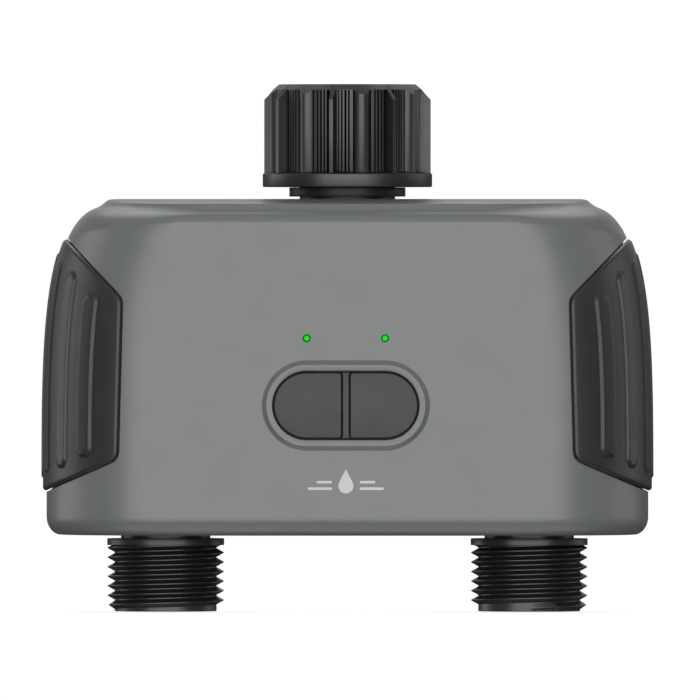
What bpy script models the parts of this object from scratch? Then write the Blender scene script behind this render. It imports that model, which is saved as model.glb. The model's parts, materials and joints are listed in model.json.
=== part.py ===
"""Two-outlet drip irrigation timer, built as an assembly of separate pieces.

Metres, +Z up.  The timer stands on the ends of its two outlets: the origin is the centre of
its footprint, the keypad faces -Y, the battery door faces +Y and the tap screws in at the top.
"""

from math import cos, pi, radians, sin

import bmesh
import bpy
from mathutils import Vector

# ---- driving dimensions (metres) ---------------------------------------------------------
MM = 0.001
GAP = 0.3 * MM                      # clearance between pieces that touch

# housing
HALF_WIDTH = 69.95 * MM
HALF_DEPTH = 31.0 * MM
END_RADIUS = 26.0 * MM              # the ends are half ellipses, END_RADIUS by HALF_DEPTH
BODY_BOTTOM = 17.8 * MM
BODY_TOP = 95.8 * MM
BOTTOM_RADIUS = 4.2 * MM
WALL = 2.8 * MM
INNER_TOP = 92.6 * MM
END_STEPS = 12                      # segments round each half-elliptic end
SWEEP_START = 40.0 * MM             # the ends lean in above this height ...
SWEEP_RISE = 55.0 * MM              # ... along a cubic superellipse this high ...
SWEEP_INSET = 19.0 * MM             # ... and this wide
SWEEP_TURNS = (0, 12, 24, 35, 45, 54, 62, 69, 74.2)
SHOULDER_TURN = 54                  # the front and back shoulders begin with this turn
SHOULDER_END = 65                   # tilt of the shoulder where it meets the plateau, degrees
SHOULDER_RADIUS = 2.9 * MM
SHOULDER_HEIGHT = 90.0 * MM

# raised plateau: half width, half depth, height at the ends, height at the front and back
PLATEAU = (
    (58.20 * MM, 28.60 * MM, 93.75 * MM, 93.20 * MM),
    (57.45 * MM, 28.00 * MM, 94.12 * MM, 93.90 * MM),
    (56.80 * MM, 27.58 * MM, 94.55 * MM, 94.71 * MM),
    (56.20 * MM, 27.30 * MM, 95.05 * MM, 94.92 * MM),
    (55.60 * MM, 23.50 * MM, 95.55 * MM, 95.60 * MM),
    (54.40 * MM, 18.80 * MM, BODY_TOP, BODY_TOP),
)

# side grips: outline of their pocket seen from the front, X outwards from the centre line
GRIP_OUTLINE = (
    (74.0 * MM, 96.1 * MM), (52.6 * MM, 74.0 * MM), (51.8 * MM, 73.0 * MM), (51.5 * MM, 71.4 * MM),
    (52.4 * MM, 37.4 * MM), (52.9 * MM, 35.6 * MM), (54.1 * MM, 34.6 * MM), (74.0 * MM, 25.9 * MM),
)
GRIP_PROUD = 0.86 * MM
GRIP_INNER = 1.2 * MM
POCKET_DEPTH = 1.5 * MM
GRIP_GAP = 0.4 * MM
RIB_PITCH = 17.0                    # degrees round the end ellipse
RIB_HALF = 4.2                      # degrees
RIB_HEIGHT = 0.36 * MM
RIB_SPANS = (                       # low and high end of the middle rib, then of those beside it
    (31.2 * MM, 83.1 * MM), (32.4 * MM, 81.4 * MM), (33.6 * MM, 78.9 * MM), (36.1 * MM, 74.0 * MM),
)
RIB_ROWS = 5

# keypad
KEYPAD_HEIGHT = 48.0 * MM
KEYPAD_FRONT = -32.0 * MM           # front of the raised pad round the buttons
PAD_SIZE = (38.9 * MM, 20.9 * MM)
PAD_CHAMFER = 1.04 * MM
OPENING_SIZE = (34.1 * MM, 16.0 * MM)
BUTTON_GAP = 0.45 * MM
BAR_HALF = 0.75 * MM
LED_OFFSET = 9.07 * MM
LED_HEIGHT = 63.55 * MM
LED_HOLE = 0.98 * MM

# inlet
NECK_RADIUS = 11.1 * MM
NECK_BORE = 7.0 * MM
NUT_BOTTOM = 98.55 * MM
NUT_TOP = 122.45 * MM
NUT_FLANGE_RADIUS = 19.7 * MM
NUT_FLANGE_TOP = 101.7 * MM
NUT_FLUTE_BOTTOM = 102.2 * MM
NUT_FIN_RADIUS = 19.6 * MM
NUT_RIM_RADIUS = 16.1 * MM
NUT_CHAMFER_START = 118.9 * MM      # height at which the fins turn in towards the rim
NUT_BORE = 12.6 * MM
NUT_SECTORS = 8
NUT_FIN_ANGLE = -11.25              # degrees from the front towards +X
NUT_SECTOR = (                      # degrees from a fin's centre, radius
    (-1.4, NUT_FIN_RADIUS), (1.4, NUT_FIN_RADIUS), (1.8, 16.9 * MM), (15.5, 17.2 * MM),
    (22.0, 18.45 * MM), (28.5, 17.2 * MM), (43.2, 16.9 * MM),
)

# outlets
OUTLET_X = 42.25 * MM
THREAD_CREST = 13.45 * MM
THREAD_ROOT = 11.78 * MM
THREAD_PITCH = 2.209 * MM
THREAD_PHASE = 13.58 * MM           # height of a crest on the +X side
THREAD_TOP = 15.3 * MM
THREAD_BOTTOM = 0.9 * MM
THREAD_TURNS = 8
THREAD_COLUMNS = 16
OUTLET_BORE = 7.2 * MM
OUTLET_NECK = 10.2 * MM
OUTLET_FLANGE = 13.55 * MM
OUTLET_TOP = 34.5 * MM

# water path
CROSS_HEIGHT = 78.0 * MM
CHAMBER_HEIGHT = 58.0 * MM
CHAMBER_RADIUS = 14.0 * MM
CHAMBER_FRONT = -9.0 * MM
SOCKET_BORE = 10.6 * MM

# battery compartment
DOOR_HALF = 33.2 * MM
DOOR_LOW = 22.6 * MM
DOOR_HIGH = 88.8 * MM
DOOR_INNER = 28.7 * MM
DOOR_OUTER = 32.0 * MM
DOOR_CORNER = 4.0 * MM
TRAY_HALF = 29.9 * MM
TRAY_LOW = 25.1 * MM
TRAY_HIGH = 78.4 * MM
CELL_RADIUS = 7.1 * MM
CELL_LENGTH = 50.4 * MM
CELL_SPACING = 14.87 * MM
CELL_Y = 18.2 * MM
DOOR_SCREW = (27.0 * MM, 83.2 * MM)
CASE_SCREWS = {"upper": (59.5 * MM, 76.0 * MM), "lower": (61.0 * MM, 33.0 * MM)}

# board
BOARD_FRONT = -19.8 * MM
BOARD_BACK = -18.2 * MM
BOARD_SCREW = (24.5 * MM, 51.0 * MM)

SIDES = {"left": -1, "right": 1}


# ---- scene ------------------------------------------------------------------------------
for old in list(bpy.data.objects):
    bpy.data.objects.remove(old, do_unlink=True)

PARTS = bpy.data.collections.new("drip_irrigation_timer")
CUTTERS = bpy.data.collections.new("cutters")
bpy.context.scene.collection.children.link(PARTS)
bpy.context.scene.collection.children.link(CUTTERS)


def material(name, color, roughness, metallic=0.0):
    """A plain Principled finish."""
    made = bpy.data.materials.new(name)
    made.use_nodes = True
    shader = made.node_tree.nodes["Principled BSDF"]
    shader.inputs["Base Color"].default_value = (*color, 1.0)
    shader.inputs["Roughness"].default_value = roughness
    shader.inputs["Metallic"].default_value = metallic
    return made


GREY = material("housing_grey", (0.24, 0.25, 0.25), 0.45)
BLACK = material("fitting_black", (0.02, 0.02, 0.02), 0.4)
GRIP = material("grip_black", (0.035, 0.035, 0.035), 0.5)
KEY = material("button_grey", (0.085, 0.085, 0.085), 0.5)
GREEN = material("indicator_green", (0.02, 0.7, 0.03), 0.25)
SEAL = material("seal_rubber", (0.03, 0.03, 0.03), 0.7)
STEEL = material("stainless_steel", (0.62, 0.62, 0.6), 0.3, 1.0)
NICKEL = material("nickel_contact", (0.7, 0.68, 0.62), 0.3, 1.0)
BOARD = material("circuit_board", (0.02, 0.16, 0.07), 0.5)
CHIP = material("component_black", (0.03, 0.03, 0.03), 0.45)
WINDING = material("coil_winding", (0.45, 0.16, 0.05), 0.4)
CELL = material("cell_sleeve", (0.32, 0.34, 0.36), 0.35)
INNER = material("inner_plastic", (0.07, 0.07, 0.075), 0.5)
MESH = material("filter_mesh", (0.55, 0.55, 0.53), 0.4, 1.0)
WIRE = material("wire_insulation", (0.25, 0.02, 0.02), 0.5)


# ---- tools ------------------------------------------------------------------------------
def add(name, mesh, finish=None):
    """Puts a mesh in the scene, as a part when it has a finish and as a cutter when not."""
    made = bpy.data.objects.new(name, mesh)
    if finish is None:
        CUTTERS.objects.link(made)
        made.hide_render = True
        made.display_type = "WIRE"
    else:
        mesh.materials.append(finish)
        PARTS.objects.link(made)
    return made


def finish_mesh(name, work):
    """Turns a bmesh into a smooth mesh with sharp edges where its faces turn."""
    mesh = bpy.data.meshes.new(name)
    work.to_mesh(mesh)
    work.free()
    mesh.shade_smooth()
    mesh.set_sharp_from_angle(angle=radians(35))
    return mesh


def point_along(made, axis):
    """Turns an object so that its own +Z looks along the named axis."""
    made.rotation_euler = {
        "+Z": (0, 0, 0), "-Z": (pi, 0, 0), "+X": (0, pi / 2, 0),
        "+Y": (-pi / 2, 0, 0), "-Y": (pi / 2, 0, 0),
    }[axis]


def cylinder(name, radius, length, base, axis="+Z", finish=None, segments=16):
    """A round bar that starts at base and runs along the axis."""
    work = bmesh.new()
    bmesh.ops.create_cone(work, cap_ends=True, segments=segments,
                          radius1=radius, radius2=radius, depth=length)
    bmesh.ops.translate(work, verts=work.verts, vec=(0, 0, length / 2))
    made = add(name, finish_mesh(name, work), finish)
    made.location = base
    point_along(made, axis)
    return made


def box(name, low, high, finish=None, edge=0.0):
    """A block between two corners, with its edges rounded by edge."""
    work = bmesh.new()
    bmesh.ops.create_cube(work, size=1)
    size = [high[i] - low[i] for i in range(3)]
    bmesh.ops.scale(work, verts=work.verts, vec=size)
    made = add(name, finish_mesh(name, work), finish)
    made.location = [(low[i] + high[i]) / 2 for i in range(3)]
    if edge:
        bevel = made.modifiers.new("edges", "BEVEL")
        bevel.width = edge
        bevel.segments = 2
    return made


def turned(name, profile, base, axis="+Z", finish=None, segments=24, closed=False):
    """A turned shape: the profile of (radius, height) runs down its outer side."""
    mesh = bpy.data.meshes.new(name)
    verts = [(radius, 0, height) for radius, height in profile]
    edges = [(i, i + 1) for i in range(len(verts) - 1)]
    if closed:
        edges.append((len(verts) - 1, 0))
    mesh.from_pydata(verts, edges, [])
    made = add(name, mesh, finish)
    made.location = base
    point_along(made, axis)
    screw = made.modifiers.new("turn", "SCREW")
    screw.steps = segments
    screw.render_steps = segments
    screw.use_merge_vertices = True
    screw.merge_threshold = 0.00001
    return made


def plate(name, outline, low_y, high_y, finish=None):
    """A flat outline of (x, z) points given thickness from low_y to high_y."""
    curve = bpy.data.curves.new(name, "CURVE")
    curve.dimensions = "2D"
    curve.fill_mode = "BOTH"
    curve.extrude = (high_y - low_y) / 2
    spline = curve.splines.new("POLY")
    spline.points.add(len(outline) - 1)
    for point, (x, z) in zip(spline.points, outline):
        point.co = (x, z, 0, 1)
    spline.use_cyclic_u = True
    sketch = bpy.data.objects.new(name + "_sketch", curve)
    CUTTERS.objects.link(sketch)
    depsgraph = bpy.context.evaluated_depsgraph_get()
    mesh = bpy.data.meshes.new_from_object(sketch.evaluated_get(depsgraph))
    bpy.data.objects.remove(sketch)
    work = bmesh.new()
    work.from_mesh(mesh)
    bmesh.ops.remove_doubles(work, verts=work.verts, dist=0.000001)
    bmesh.ops.recalc_face_normals(work, faces=work.faces)
    made = add(name, finish_mesh(name, work), finish)
    made.location = (0, (low_y + high_y) / 2, 0)
    made.rotation_euler = (pi / 2, 0, 0)
    return made


def cord(name, points, radius, finish, cyclic=False, sides=2):
    """A round cord along the points."""
    curve = bpy.data.curves.new(name, "CURVE")
    curve.dimensions = "3D"
    curve.bevel_depth = radius
    curve.bevel_resolution = sides
    curve.use_fill_caps = not cyclic
    curve.materials.append(finish)
    spline = curve.splines.new("POLY")
    spline.points.add(len(points) - 1)
    for point, place in zip(spline.points, points):
        point.co = (*place, 1)
    spline.use_cyclic_u = cyclic
    made = bpy.data.objects.new(name, curve)
    PARTS.objects.link(made)
    return made


def boolean(target, operation, other):
    """Adds one Boolean modifier."""
    step = target.modifiers.new(operation.lower(), "BOOLEAN")
    step.operation = operation
    step.solver = "EXACT"
    step.object = other


def carve(target, *cutters):
    """Cuts each cutter out of the target."""
    for cutter in cutters:
        boolean(target, "DIFFERENCE", cutter)


def join(target, *others):
    """Fuses each shape into the target."""
    for other in others:
        boolean(target, "UNION", other)


def loft(name, rings, finish=None, caps=True):
    """A skin over rings with equal numbers of points.

    Without caps, the last ring has to lie on the first one, and the two are merged.
    """
    work = bmesh.new()
    rows = [[work.verts.new(point) for point in ring] for ring in rings]
    count = len(rows[0])
    for lower, upper in zip(rows, rows[1:]):
        for i in range(count):
            j = (i + 1) % count
            work.faces.new((lower[i], lower[j], upper[j], upper[i]))
    if caps:
        work.faces.new(list(reversed(rows[0])))
        work.faces.new(rows[-1])
    bmesh.ops.remove_doubles(work, verts=work.verts, dist=0.000001)
    bmesh.ops.recalc_face_normals(work, faces=work.faces)
    return add(name, finish_mesh(name, work), finish)


# ---- outlines ---------------------------------------------------------------------------
def pill(width, height, steps=8):
    """A slot outline about the keypad's centre, as (x, z) points."""
    radius = height / 2
    offset = width / 2 - radius
    points = []
    for side in (1, -1):
        for step in range(steps + 1):
            turn = radians(-90 + 180 * step / steps)
            points.append((side * (offset + radius * cos(turn)),
                           KEYPAD_HEIGHT + side * radius * sin(turn)))
    return points


def half_pill(side, width, height, inner, steps=10):
    """One half of a slot outline, beyond inner from the centre line."""
    radius = height / 2
    offset = width / 2 - radius
    points = [(side * inner, KEYPAD_HEIGHT - radius)]
    for step in range(steps + 1):
        turn = radians(-90 + 180 * step / steps)
        points.append((side * (offset + radius * cos(turn)), KEYPAD_HEIGHT + radius * sin(turn)))
    points.append((side * inner, KEYPAD_HEIGHT + radius))
    return points


def rounded_rectangle(half, low, high, radius, steps=3):
    """An upright rectangle with round corners, as (x, z) points."""
    points = []
    corners = ((half, low, -90), (half, high, 0), (-half, high, 90), (-half, low, 180))
    for x, z, start in corners:
        centre_x = x - radius if x > 0 else x + radius
        centre_z = z + radius if z == low else z - radius
        for step in range(steps + 1):
            turn = radians(start + 90 * step / steps)
            points.append((centre_x + radius * cos(turn), centre_z + radius * sin(turn)))
    return points


def inset(outline, distance):
    """Moves every side of an outline inwards by distance."""
    area = sum(a[0] * b[1] - b[0] * a[1] for a, b in zip(outline, outline[1:] + outline[:1]))
    sign = 1 if area > 0 else -1
    moved = []
    for before, here, after in zip(outline[-1:] + outline[:-1], outline, outline[1:] + outline[:1]):
        first = Vector((here[0] - before[0], here[1] - before[1])).normalized()
        second = Vector((after[0] - here[0], after[1] - here[1])).normalized()
        normal_a = Vector((-first.y, first.x)) * sign
        normal_b = Vector((-second.y, second.x)) * sign
        middle = (normal_a + normal_b).normalized()
        reach = distance / max(middle.dot(normal_a), 0.2)
        moved.append((here[0] + middle.x * reach, here[1] + middle.y * reach))
    return moved


# ---- housing surface --------------------------------------------------------------------
def sweep(turn):
    """Half width and height of the leaning end at a turn of its superellipse, in degrees."""
    across = cos(radians(turn)) ** (2 / 3)
    up = sin(radians(turn)) ** (2 / 3)
    return HALF_WIDTH - SWEEP_INSET * (1 - across), SWEEP_START + SWEEP_RISE * up


def half_width_at(height):
    """Half width of the housing at a height above the bottom fillet."""
    if height <= SWEEP_START:
        return HALF_WIDTH
    up = (height - SWEEP_START) / SWEEP_RISE
    return HALF_WIDTH - SWEEP_INSET * (1 - (1 - up ** 3) ** (1 / 3))


def body_rows():
    """Rows up the housing: half width, half depth, height at the ends, height at the front."""
    rows = []
    for step in range(5):
        turn = radians(22.5 * step)
        shrink = BOTTOM_RADIUS * (1 - sin(turn))
        level = BODY_BOTTOM + BOTTOM_RADIUS * (1 - cos(turn))
        rows.append((HALF_WIDTH - shrink, HALF_DEPTH - shrink, level, level))
    for turn in SWEEP_TURNS:
        width, side = sweep(turn)
        depth, front = HALF_DEPTH, side
        if turn >= SHOULDER_TURN:
            tilt = radians(SHOULDER_END * (turn - SHOULDER_TURN) / (SWEEP_TURNS[-1] - SHOULDER_TURN))
            depth = HALF_DEPTH - SHOULDER_RADIUS * (1 - cos(tilt))
            front = SHOULDER_HEIGHT + SHOULDER_RADIUS * sin(tilt)
        rows.append((width, depth, side, front))
    return rows + list(PLATEAU)


def body_ring(half_width, half_depth, side, front, grow=0.0):
    """One loop of the housing: flat front and back, half-elliptic ends."""
    flat = half_width - END_RADIUS
    points = []
    for end in (1, -1):
        for step in range(END_STEPS + 1):
            turn = radians(-90 + 180 * step / END_STEPS)
            x = end * (flat + (END_RADIUS + grow) * cos(turn))
            y = end * (half_depth + grow) * sin(turn)
            points.append((x, y, front + (side - front) * cos(turn) ** 2))
    return points


def body_solid(name, grow=0.0, finish=None):
    """The housing's outer shape as one solid, grown sideways by grow."""
    return loft(name, [body_ring(*row, grow=grow) for row in body_rows()], finish)


def cavity_solid(name):
    """The space inside the housing."""
    floor = BODY_BOTTOM + WALL
    rows = [(HALF_WIDTH, HALF_DEPTH, floor, floor)]
    for turn in SWEEP_TURNS[:7:2]:
        width, height = sweep(turn)
        rows.append((width, HALF_DEPTH, height, height))
    rows.append((60.0 * MM, 29.0 * MM, INNER_TOP, INNER_TOP))
    return loft(name, [body_ring(*row, grow=-WALL) for row in rows])


def half_space(name, side):
    """Everything in front of (-1) or behind (+1) the parting plane."""
    reach = 100 * MM
    edge = side * GAP / 2
    low_y, high_y = (edge, reach) if side > 0 else (-reach, edge)
    return box(name, (-reach, low_y, -reach), (reach, high_y, 2 * reach))


def grip_prism(name, side, shrink, finish=None):
    """The grip's outline as a bar running from front to back."""
    outline = inset(list(GRIP_OUTLINE), shrink)
    return plate(name, [(side * x, z) for x, z in outline], -40 * MM, 40 * MM, finish)


def grip_pockets():
    """What the housings lose under the grips."""
    pockets = []
    for side_name, sign in SIDES.items():
        pocket = grip_prism(side_name + "_pocket", sign, 0)
        carve(pocket, body_solid(side_name + "_pocket_floor", -POCKET_DEPTH))
        pockets.append(pocket)
    return pockets


# ---- housings ---------------------------------------------------------------------------
def boss(name, place, low_y, high_y, radius):
    """A round boss along Y."""
    return cylinder(name, radius, high_y - low_y, (place[0], low_y, place[1]), "+Y", segments=16)


def mirrored(place):
    """A place and its mirror image, named by side."""
    return {side_name: (sign * place[0], place[1]) for side_name, sign in SIDES.items()}


def shared_openings(tag):
    """The neck and outlet holes that both housings share."""
    neck = cylinder("neck_hole_" + tag, NECK_RADIUS + 0.35 * MM, 12 * MM, (0, 0, 88 * MM), segments=32)
    outlets = [
        cylinder(f"{side_name}_outlet_hole_{tag}", OUTLET_NECK + 0.35 * MM, 12 * MM,
                 (sign * OUTLET_X, 0, 12 * MM), segments=32)
        for side_name, sign in SIDES.items()
    ]
    return [neck, *outlets]


def trimmed(name, shapes):
    """The shapes as one cutter, cut back to stay inside the housing's wall."""
    whole, *others = shapes
    join(whole, *others)
    boolean(whole, "INTERSECT", body_solid(name + "_trim", -WALL / 2))
    return whole


def make_front_housing(pockets):
    """Front shell with the keypad pad, the indicator holes and the screw bosses."""
    front = body_solid("front_housing", finish=GREY)
    carve(front, cavity_solid("front_cavity"))
    bosses = []
    for level, place in CASE_SCREWS.items():
        for side_name, spot in mirrored(place).items():
            bosses.append(boss(f"front_{level}_{side_name}_boss", spot, -22 * MM, 0, 4.2 * MM))
    for side_name, spot in mirrored(BOARD_SCREW).items():
        bosses.append(boss(f"board_{side_name}_boss", spot, -29 * MM, BOARD_FRONT - GAP, 2.6 * MM))
    join(front, trimmed("front_bosses", bosses))
    boolean(front, "INTERSECT", half_space("front_half", -1))
    carve(front, *pockets, *shared_openings("front"))
    outer = pill(*PAD_SIZE)
    inner = pill(PAD_SIZE[0] - 2 * PAD_CHAMFER, PAD_SIZE[1] - 2 * PAD_CHAMFER)
    levels = ((outer, -HALF_DEPTH + 1.5 * MM), (outer, -HALF_DEPTH), (inner, KEYPAD_FRONT))
    join(front, loft("keypad_pad", [[(x, y, z) for x, z in outline] for outline, y in levels]))
    carve(front, plate("keypad_opening", pill(*OPENING_SIZE), -36 * MM, -26 * MM))
    for side_name, sign in SIDES.items():
        carve(front, boss(side_name + "_indicator_hole", (sign * LED_OFFSET, LED_HEIGHT),
                          -36 * MM, -26 * MM, LED_HOLE))
    for level, place in CASE_SCREWS.items():
        for side_name, spot in mirrored(place).items():
            carve(front, boss(f"front_{level}_{side_name}_hole", spot, -10 * MM, 1 * MM, 1.7 * MM))
    for side_name, spot in mirrored(BOARD_SCREW).items():
        carve(front, boss(f"board_{side_name}_hole", spot, -27 * MM, -19 * MM, 1.1 * MM))
    return front


def make_rear_housing(pockets):
    """Rear shell with the framed battery opening and the counterbored screw bosses."""
    rear = body_solid("rear_housing", finish=GREY)
    carve(rear, cavity_solid("rear_cavity"))
    frame = plate("door_frame", rounded_rectangle(36 * MM, 21.2 * MM, 90 * MM, 3 * MM), 25.9 * MM, 29 * MM)
    bosses = []
    for level, place in CASE_SCREWS.items():
        for side_name, spot in mirrored(place).items():
            bosses.append(boss(f"rear_{level}_{side_name}_boss", spot, 0, 22 * MM, 4.2 * MM))
    join(rear, trimmed("rear_bosses", [frame, *bosses]))
    boolean(rear, "INTERSECT", half_space("rear_half", 1))
    carve(rear, *pockets, *shared_openings("rear"))
    recess = rounded_rectangle(DOOR_HALF + GAP, DOOR_LOW - GAP, DOOR_HIGH + GAP, DOOR_CORNER + GAP)
    opening = rounded_rectangle(TRAY_HALF, TRAY_LOW, TRAY_HIGH, 2 * MM)
    groove_out = rounded_rectangle(32.5 * MM, 22.9 * MM, 80.6 * MM, 3.2 * MM)
    groove_in = rounded_rectangle(30.9 * MM, 24.5 * MM, 79.0 * MM, 2.2 * MM)
    groove = plate("seal_groove", groove_out, 27.3 * MM, 28.6 * MM)
    carve(groove, plate("seal_groove_core", groove_in, 27 * MM, 29 * MM))
    carve(rear, plate("door_recess", recess, DOOR_INNER - GAP, 40 * MM))
    carve(rear, plate("door_opening", opening, 20 * MM, 40 * MM), groove)
    for side_name, spot in mirrored(DOOR_SCREW).items():
        carve(rear, boss(side_name + "_door_screw_hole", spot, 24 * MM, 30 * MM, 1.9 * MM))
    for level, place in CASE_SCREWS.items():
        for side_name, spot in mirrored(place).items():
            carve(rear, boss(f"rear_{level}_{side_name}_hole", spot, -1 * MM, 12 * MM, 1.75 * MM))
            carve(rear, boss(f"rear_{level}_{side_name}_counterbore", spot, 8.3 * MM, 30 * MM, 2.95 * MM))
    return rear


def make_grip(side_name):
    """Side grip: a skin that wraps the housing's end, with upright ribs."""
    sign = SIDES[side_name]
    grip = grip_prism(side_name + "_grip", sign, GRIP_GAP, GRIP)
    boolean(grip, "INTERSECT", body_solid(side_name + "_grip_outside", GRIP_PROUD))
    carve(grip, body_solid(side_name + "_grip_inside", -GRIP_INNER))
    for number in range(-3, 4):
        join(grip, rib(f"{side_name}_rib_{number + 4}", sign, number))
    return grip


def rib(name, sign, number):
    """One upright rib: a strip that follows the end of the housing."""
    low, high = RIB_SPANS[abs(number)]
    middle = 90 + RIB_PITCH * number
    rings = []
    for row in range(RIB_ROWS + 1):
        height = low + (high - low) * row / RIB_ROWS
        flat = half_width_at(height) - END_RADIUS
        ring = []
        for turn, lift in ((-RIB_HALF, -0.5 * MM), (-RIB_HALF + 0.9, RIB_HEIGHT),
                           (RIB_HALF - 0.9, RIB_HEIGHT), (RIB_HALF, -0.5 * MM)):
            angle = radians(middle + turn)
            reach = GRIP_PROUD + lift
            ring.append((sign * (flat + (END_RADIUS + reach) * sin(angle)),
                         -(HALF_DEPTH + reach) * cos(angle), height))
        rings.append(ring)
    return loft(name, rings)


# ---- keypad -----------------------------------------------------------------------------
def make_keypad_bezel():
    """Frame behind the front wall that guides the buttons, with the bar between them."""
    outline = rounded_rectangle(20.5 * MM, KEYPAD_HEIGHT - 11.2 * MM, KEYPAD_HEIGHT + 11.2 * MM, 2 * MM)
    bezel = plate("keypad_bezel", outline, -27.9 * MM, -26.7 * MM, KEY)
    for side_name, sign in SIDES.items():
        width = OPENING_SIZE[0] - 0.2 * MM
        hole = half_pill(sign, width, OPENING_SIZE[1] - 0.2 * MM, BAR_HALF)
        carve(bezel, plate(side_name + "_bezel_hole", hole, -30 * MM, -25 * MM))
    half = OPENING_SIZE[1] / 2 - BUTTON_GAP
    join(bezel, box("bezel_bar", (-BAR_HALF, KEYPAD_FRONT + 0.1 * MM, KEYPAD_HEIGHT - half),
                    (BAR_HALF, -26.8 * MM, KEYPAD_HEIGHT + half)))
    return bezel


def make_button(side_name):
    """D-shaped button with a flange that keeps it behind the bezel."""
    sign = SIDES[side_name]
    width, height = (size - 2 * BUTTON_GAP for size in OPENING_SIZE)
    cap = half_pill(sign, width, height, BAR_HALF + 0.35 * MM)
    flange = half_pill(sign, width + 3.2 * MM, height + 3.2 * MM, 0.3 * MM)
    button = plate(side_name + "_button", cap, KEYPAD_FRONT + 0.1 * MM, -26.0 * MM, KEY)
    join(button, plate(side_name + "_button_flange", flange, -26.4 * MM, -25.6 * MM))
    return button


def make_light_pipe(side_name):
    """Clear green rod that carries an indicator's light to the front."""
    profile = ((0, 7.85 * MM), (0.5 * MM, 7.75 * MM), (0.68 * MM, 7.5 * MM), (0.68 * MM, 4.6 * MM),
               (1.7 * MM, 4.6 * MM), (1.7 * MM, 3.6 * MM), (0.9 * MM, 3.6 * MM), (0.9 * MM, 0), (0, 0))
    base = (SIDES[side_name] * LED_OFFSET, -23.3 * MM, LED_HEIGHT)
    return turned(side_name + "_light_pipe", profile, base, "-Y", GREEN, segments=12)


def make_keypad():
    """All the pieces of the keypad and the indicators."""
    make_keypad_bezel()
    for side_name, sign in SIDES.items():
        make_button(side_name)
        make_light_pipe(side_name)
        switch_x = sign * 8.9 * MM
        switch = box(side_name + "_switch", (switch_x - 3 * MM, -23.0 * MM, KEYPAD_HEIGHT - 3 * MM),
                     (switch_x + 3 * MM, BOARD_FRONT - GAP, KEYPAD_HEIGHT + 3 * MM), CHIP)
        join(switch, cylinder(side_name + "_switch_key", 1.6 * MM, 1.4 * MM,
                              (switch_x, -22.2 * MM, KEYPAD_HEIGHT), "-Y", segments=12))
        cylinder(side_name + "_led", 1.5 * MM, 2.9 * MM,
                 (sign * LED_OFFSET, BOARD_FRONT - GAP, LED_HEIGHT), "-Y", GREEN, segments=12)
    sheet = rounded_rectangle(19.5 * MM, KEYPAD_HEIGHT - 10 * MM, KEYPAD_HEIGHT + 10 * MM, 2 * MM)
    plate("keypad_membrane", sheet, -24.7 * MM, -24.0 * MM, SEAL)


# ---- inlet ------------------------------------------------------------------------------
def make_inlet_nut():
    """Swivel nut: finned and fluted outside, bored for the tap's thread inside."""
    rings = []
    for sector in range(NUT_SECTORS):
        for offset, radius in NUT_SECTOR:
            angle = radians(NUT_FIN_ANGLE + 45 * sector + offset)
            slope = (NUT_TOP - NUT_CHAMFER_START) / (NUT_FIN_RADIUS - NUT_RIM_RADIUS)
            shoulder = NUT_CHAMFER_START + (NUT_FIN_RADIUS - radius) * slope
            profile = (
                (NUT_BORE + 1.0 * MM, NUT_TOP), (NUT_RIM_RADIUS, NUT_TOP), (radius, shoulder),
                (radius, NUT_FLUTE_BOTTOM), (NUT_FLANGE_RADIUS, NUT_FLANGE_TOP),
                (NUT_FLANGE_RADIUS, NUT_BOTTOM + 0.3 * MM), (NUT_FLANGE_RADIUS - 0.3 * MM, NUT_BOTTOM),
                (NECK_RADIUS + GAP, NUT_BOTTOM), (NECK_RADIUS + GAP, NUT_BOTTOM + 3 * MM),
                (NUT_BORE, NUT_BOTTOM + 3 * MM), (NUT_BORE, NUT_TOP - 1.0 * MM),
            )
            rings.append([(r * sin(angle), -r * cos(angle), z) for r, z in profile])
    return loft("inlet_nut", rings + rings[:1], BLACK, caps=False)


def o_ring(name, radius, thickness, base):
    """A rubber ring."""
    steps = 5
    section = [(radius + thickness * cos(-2 * pi * i / steps), thickness * sin(-2 * pi * i / steps))
               for i in range(steps)]
    return turned(name, section, base, finish=SEAL, closed=True, segments=18)


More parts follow.
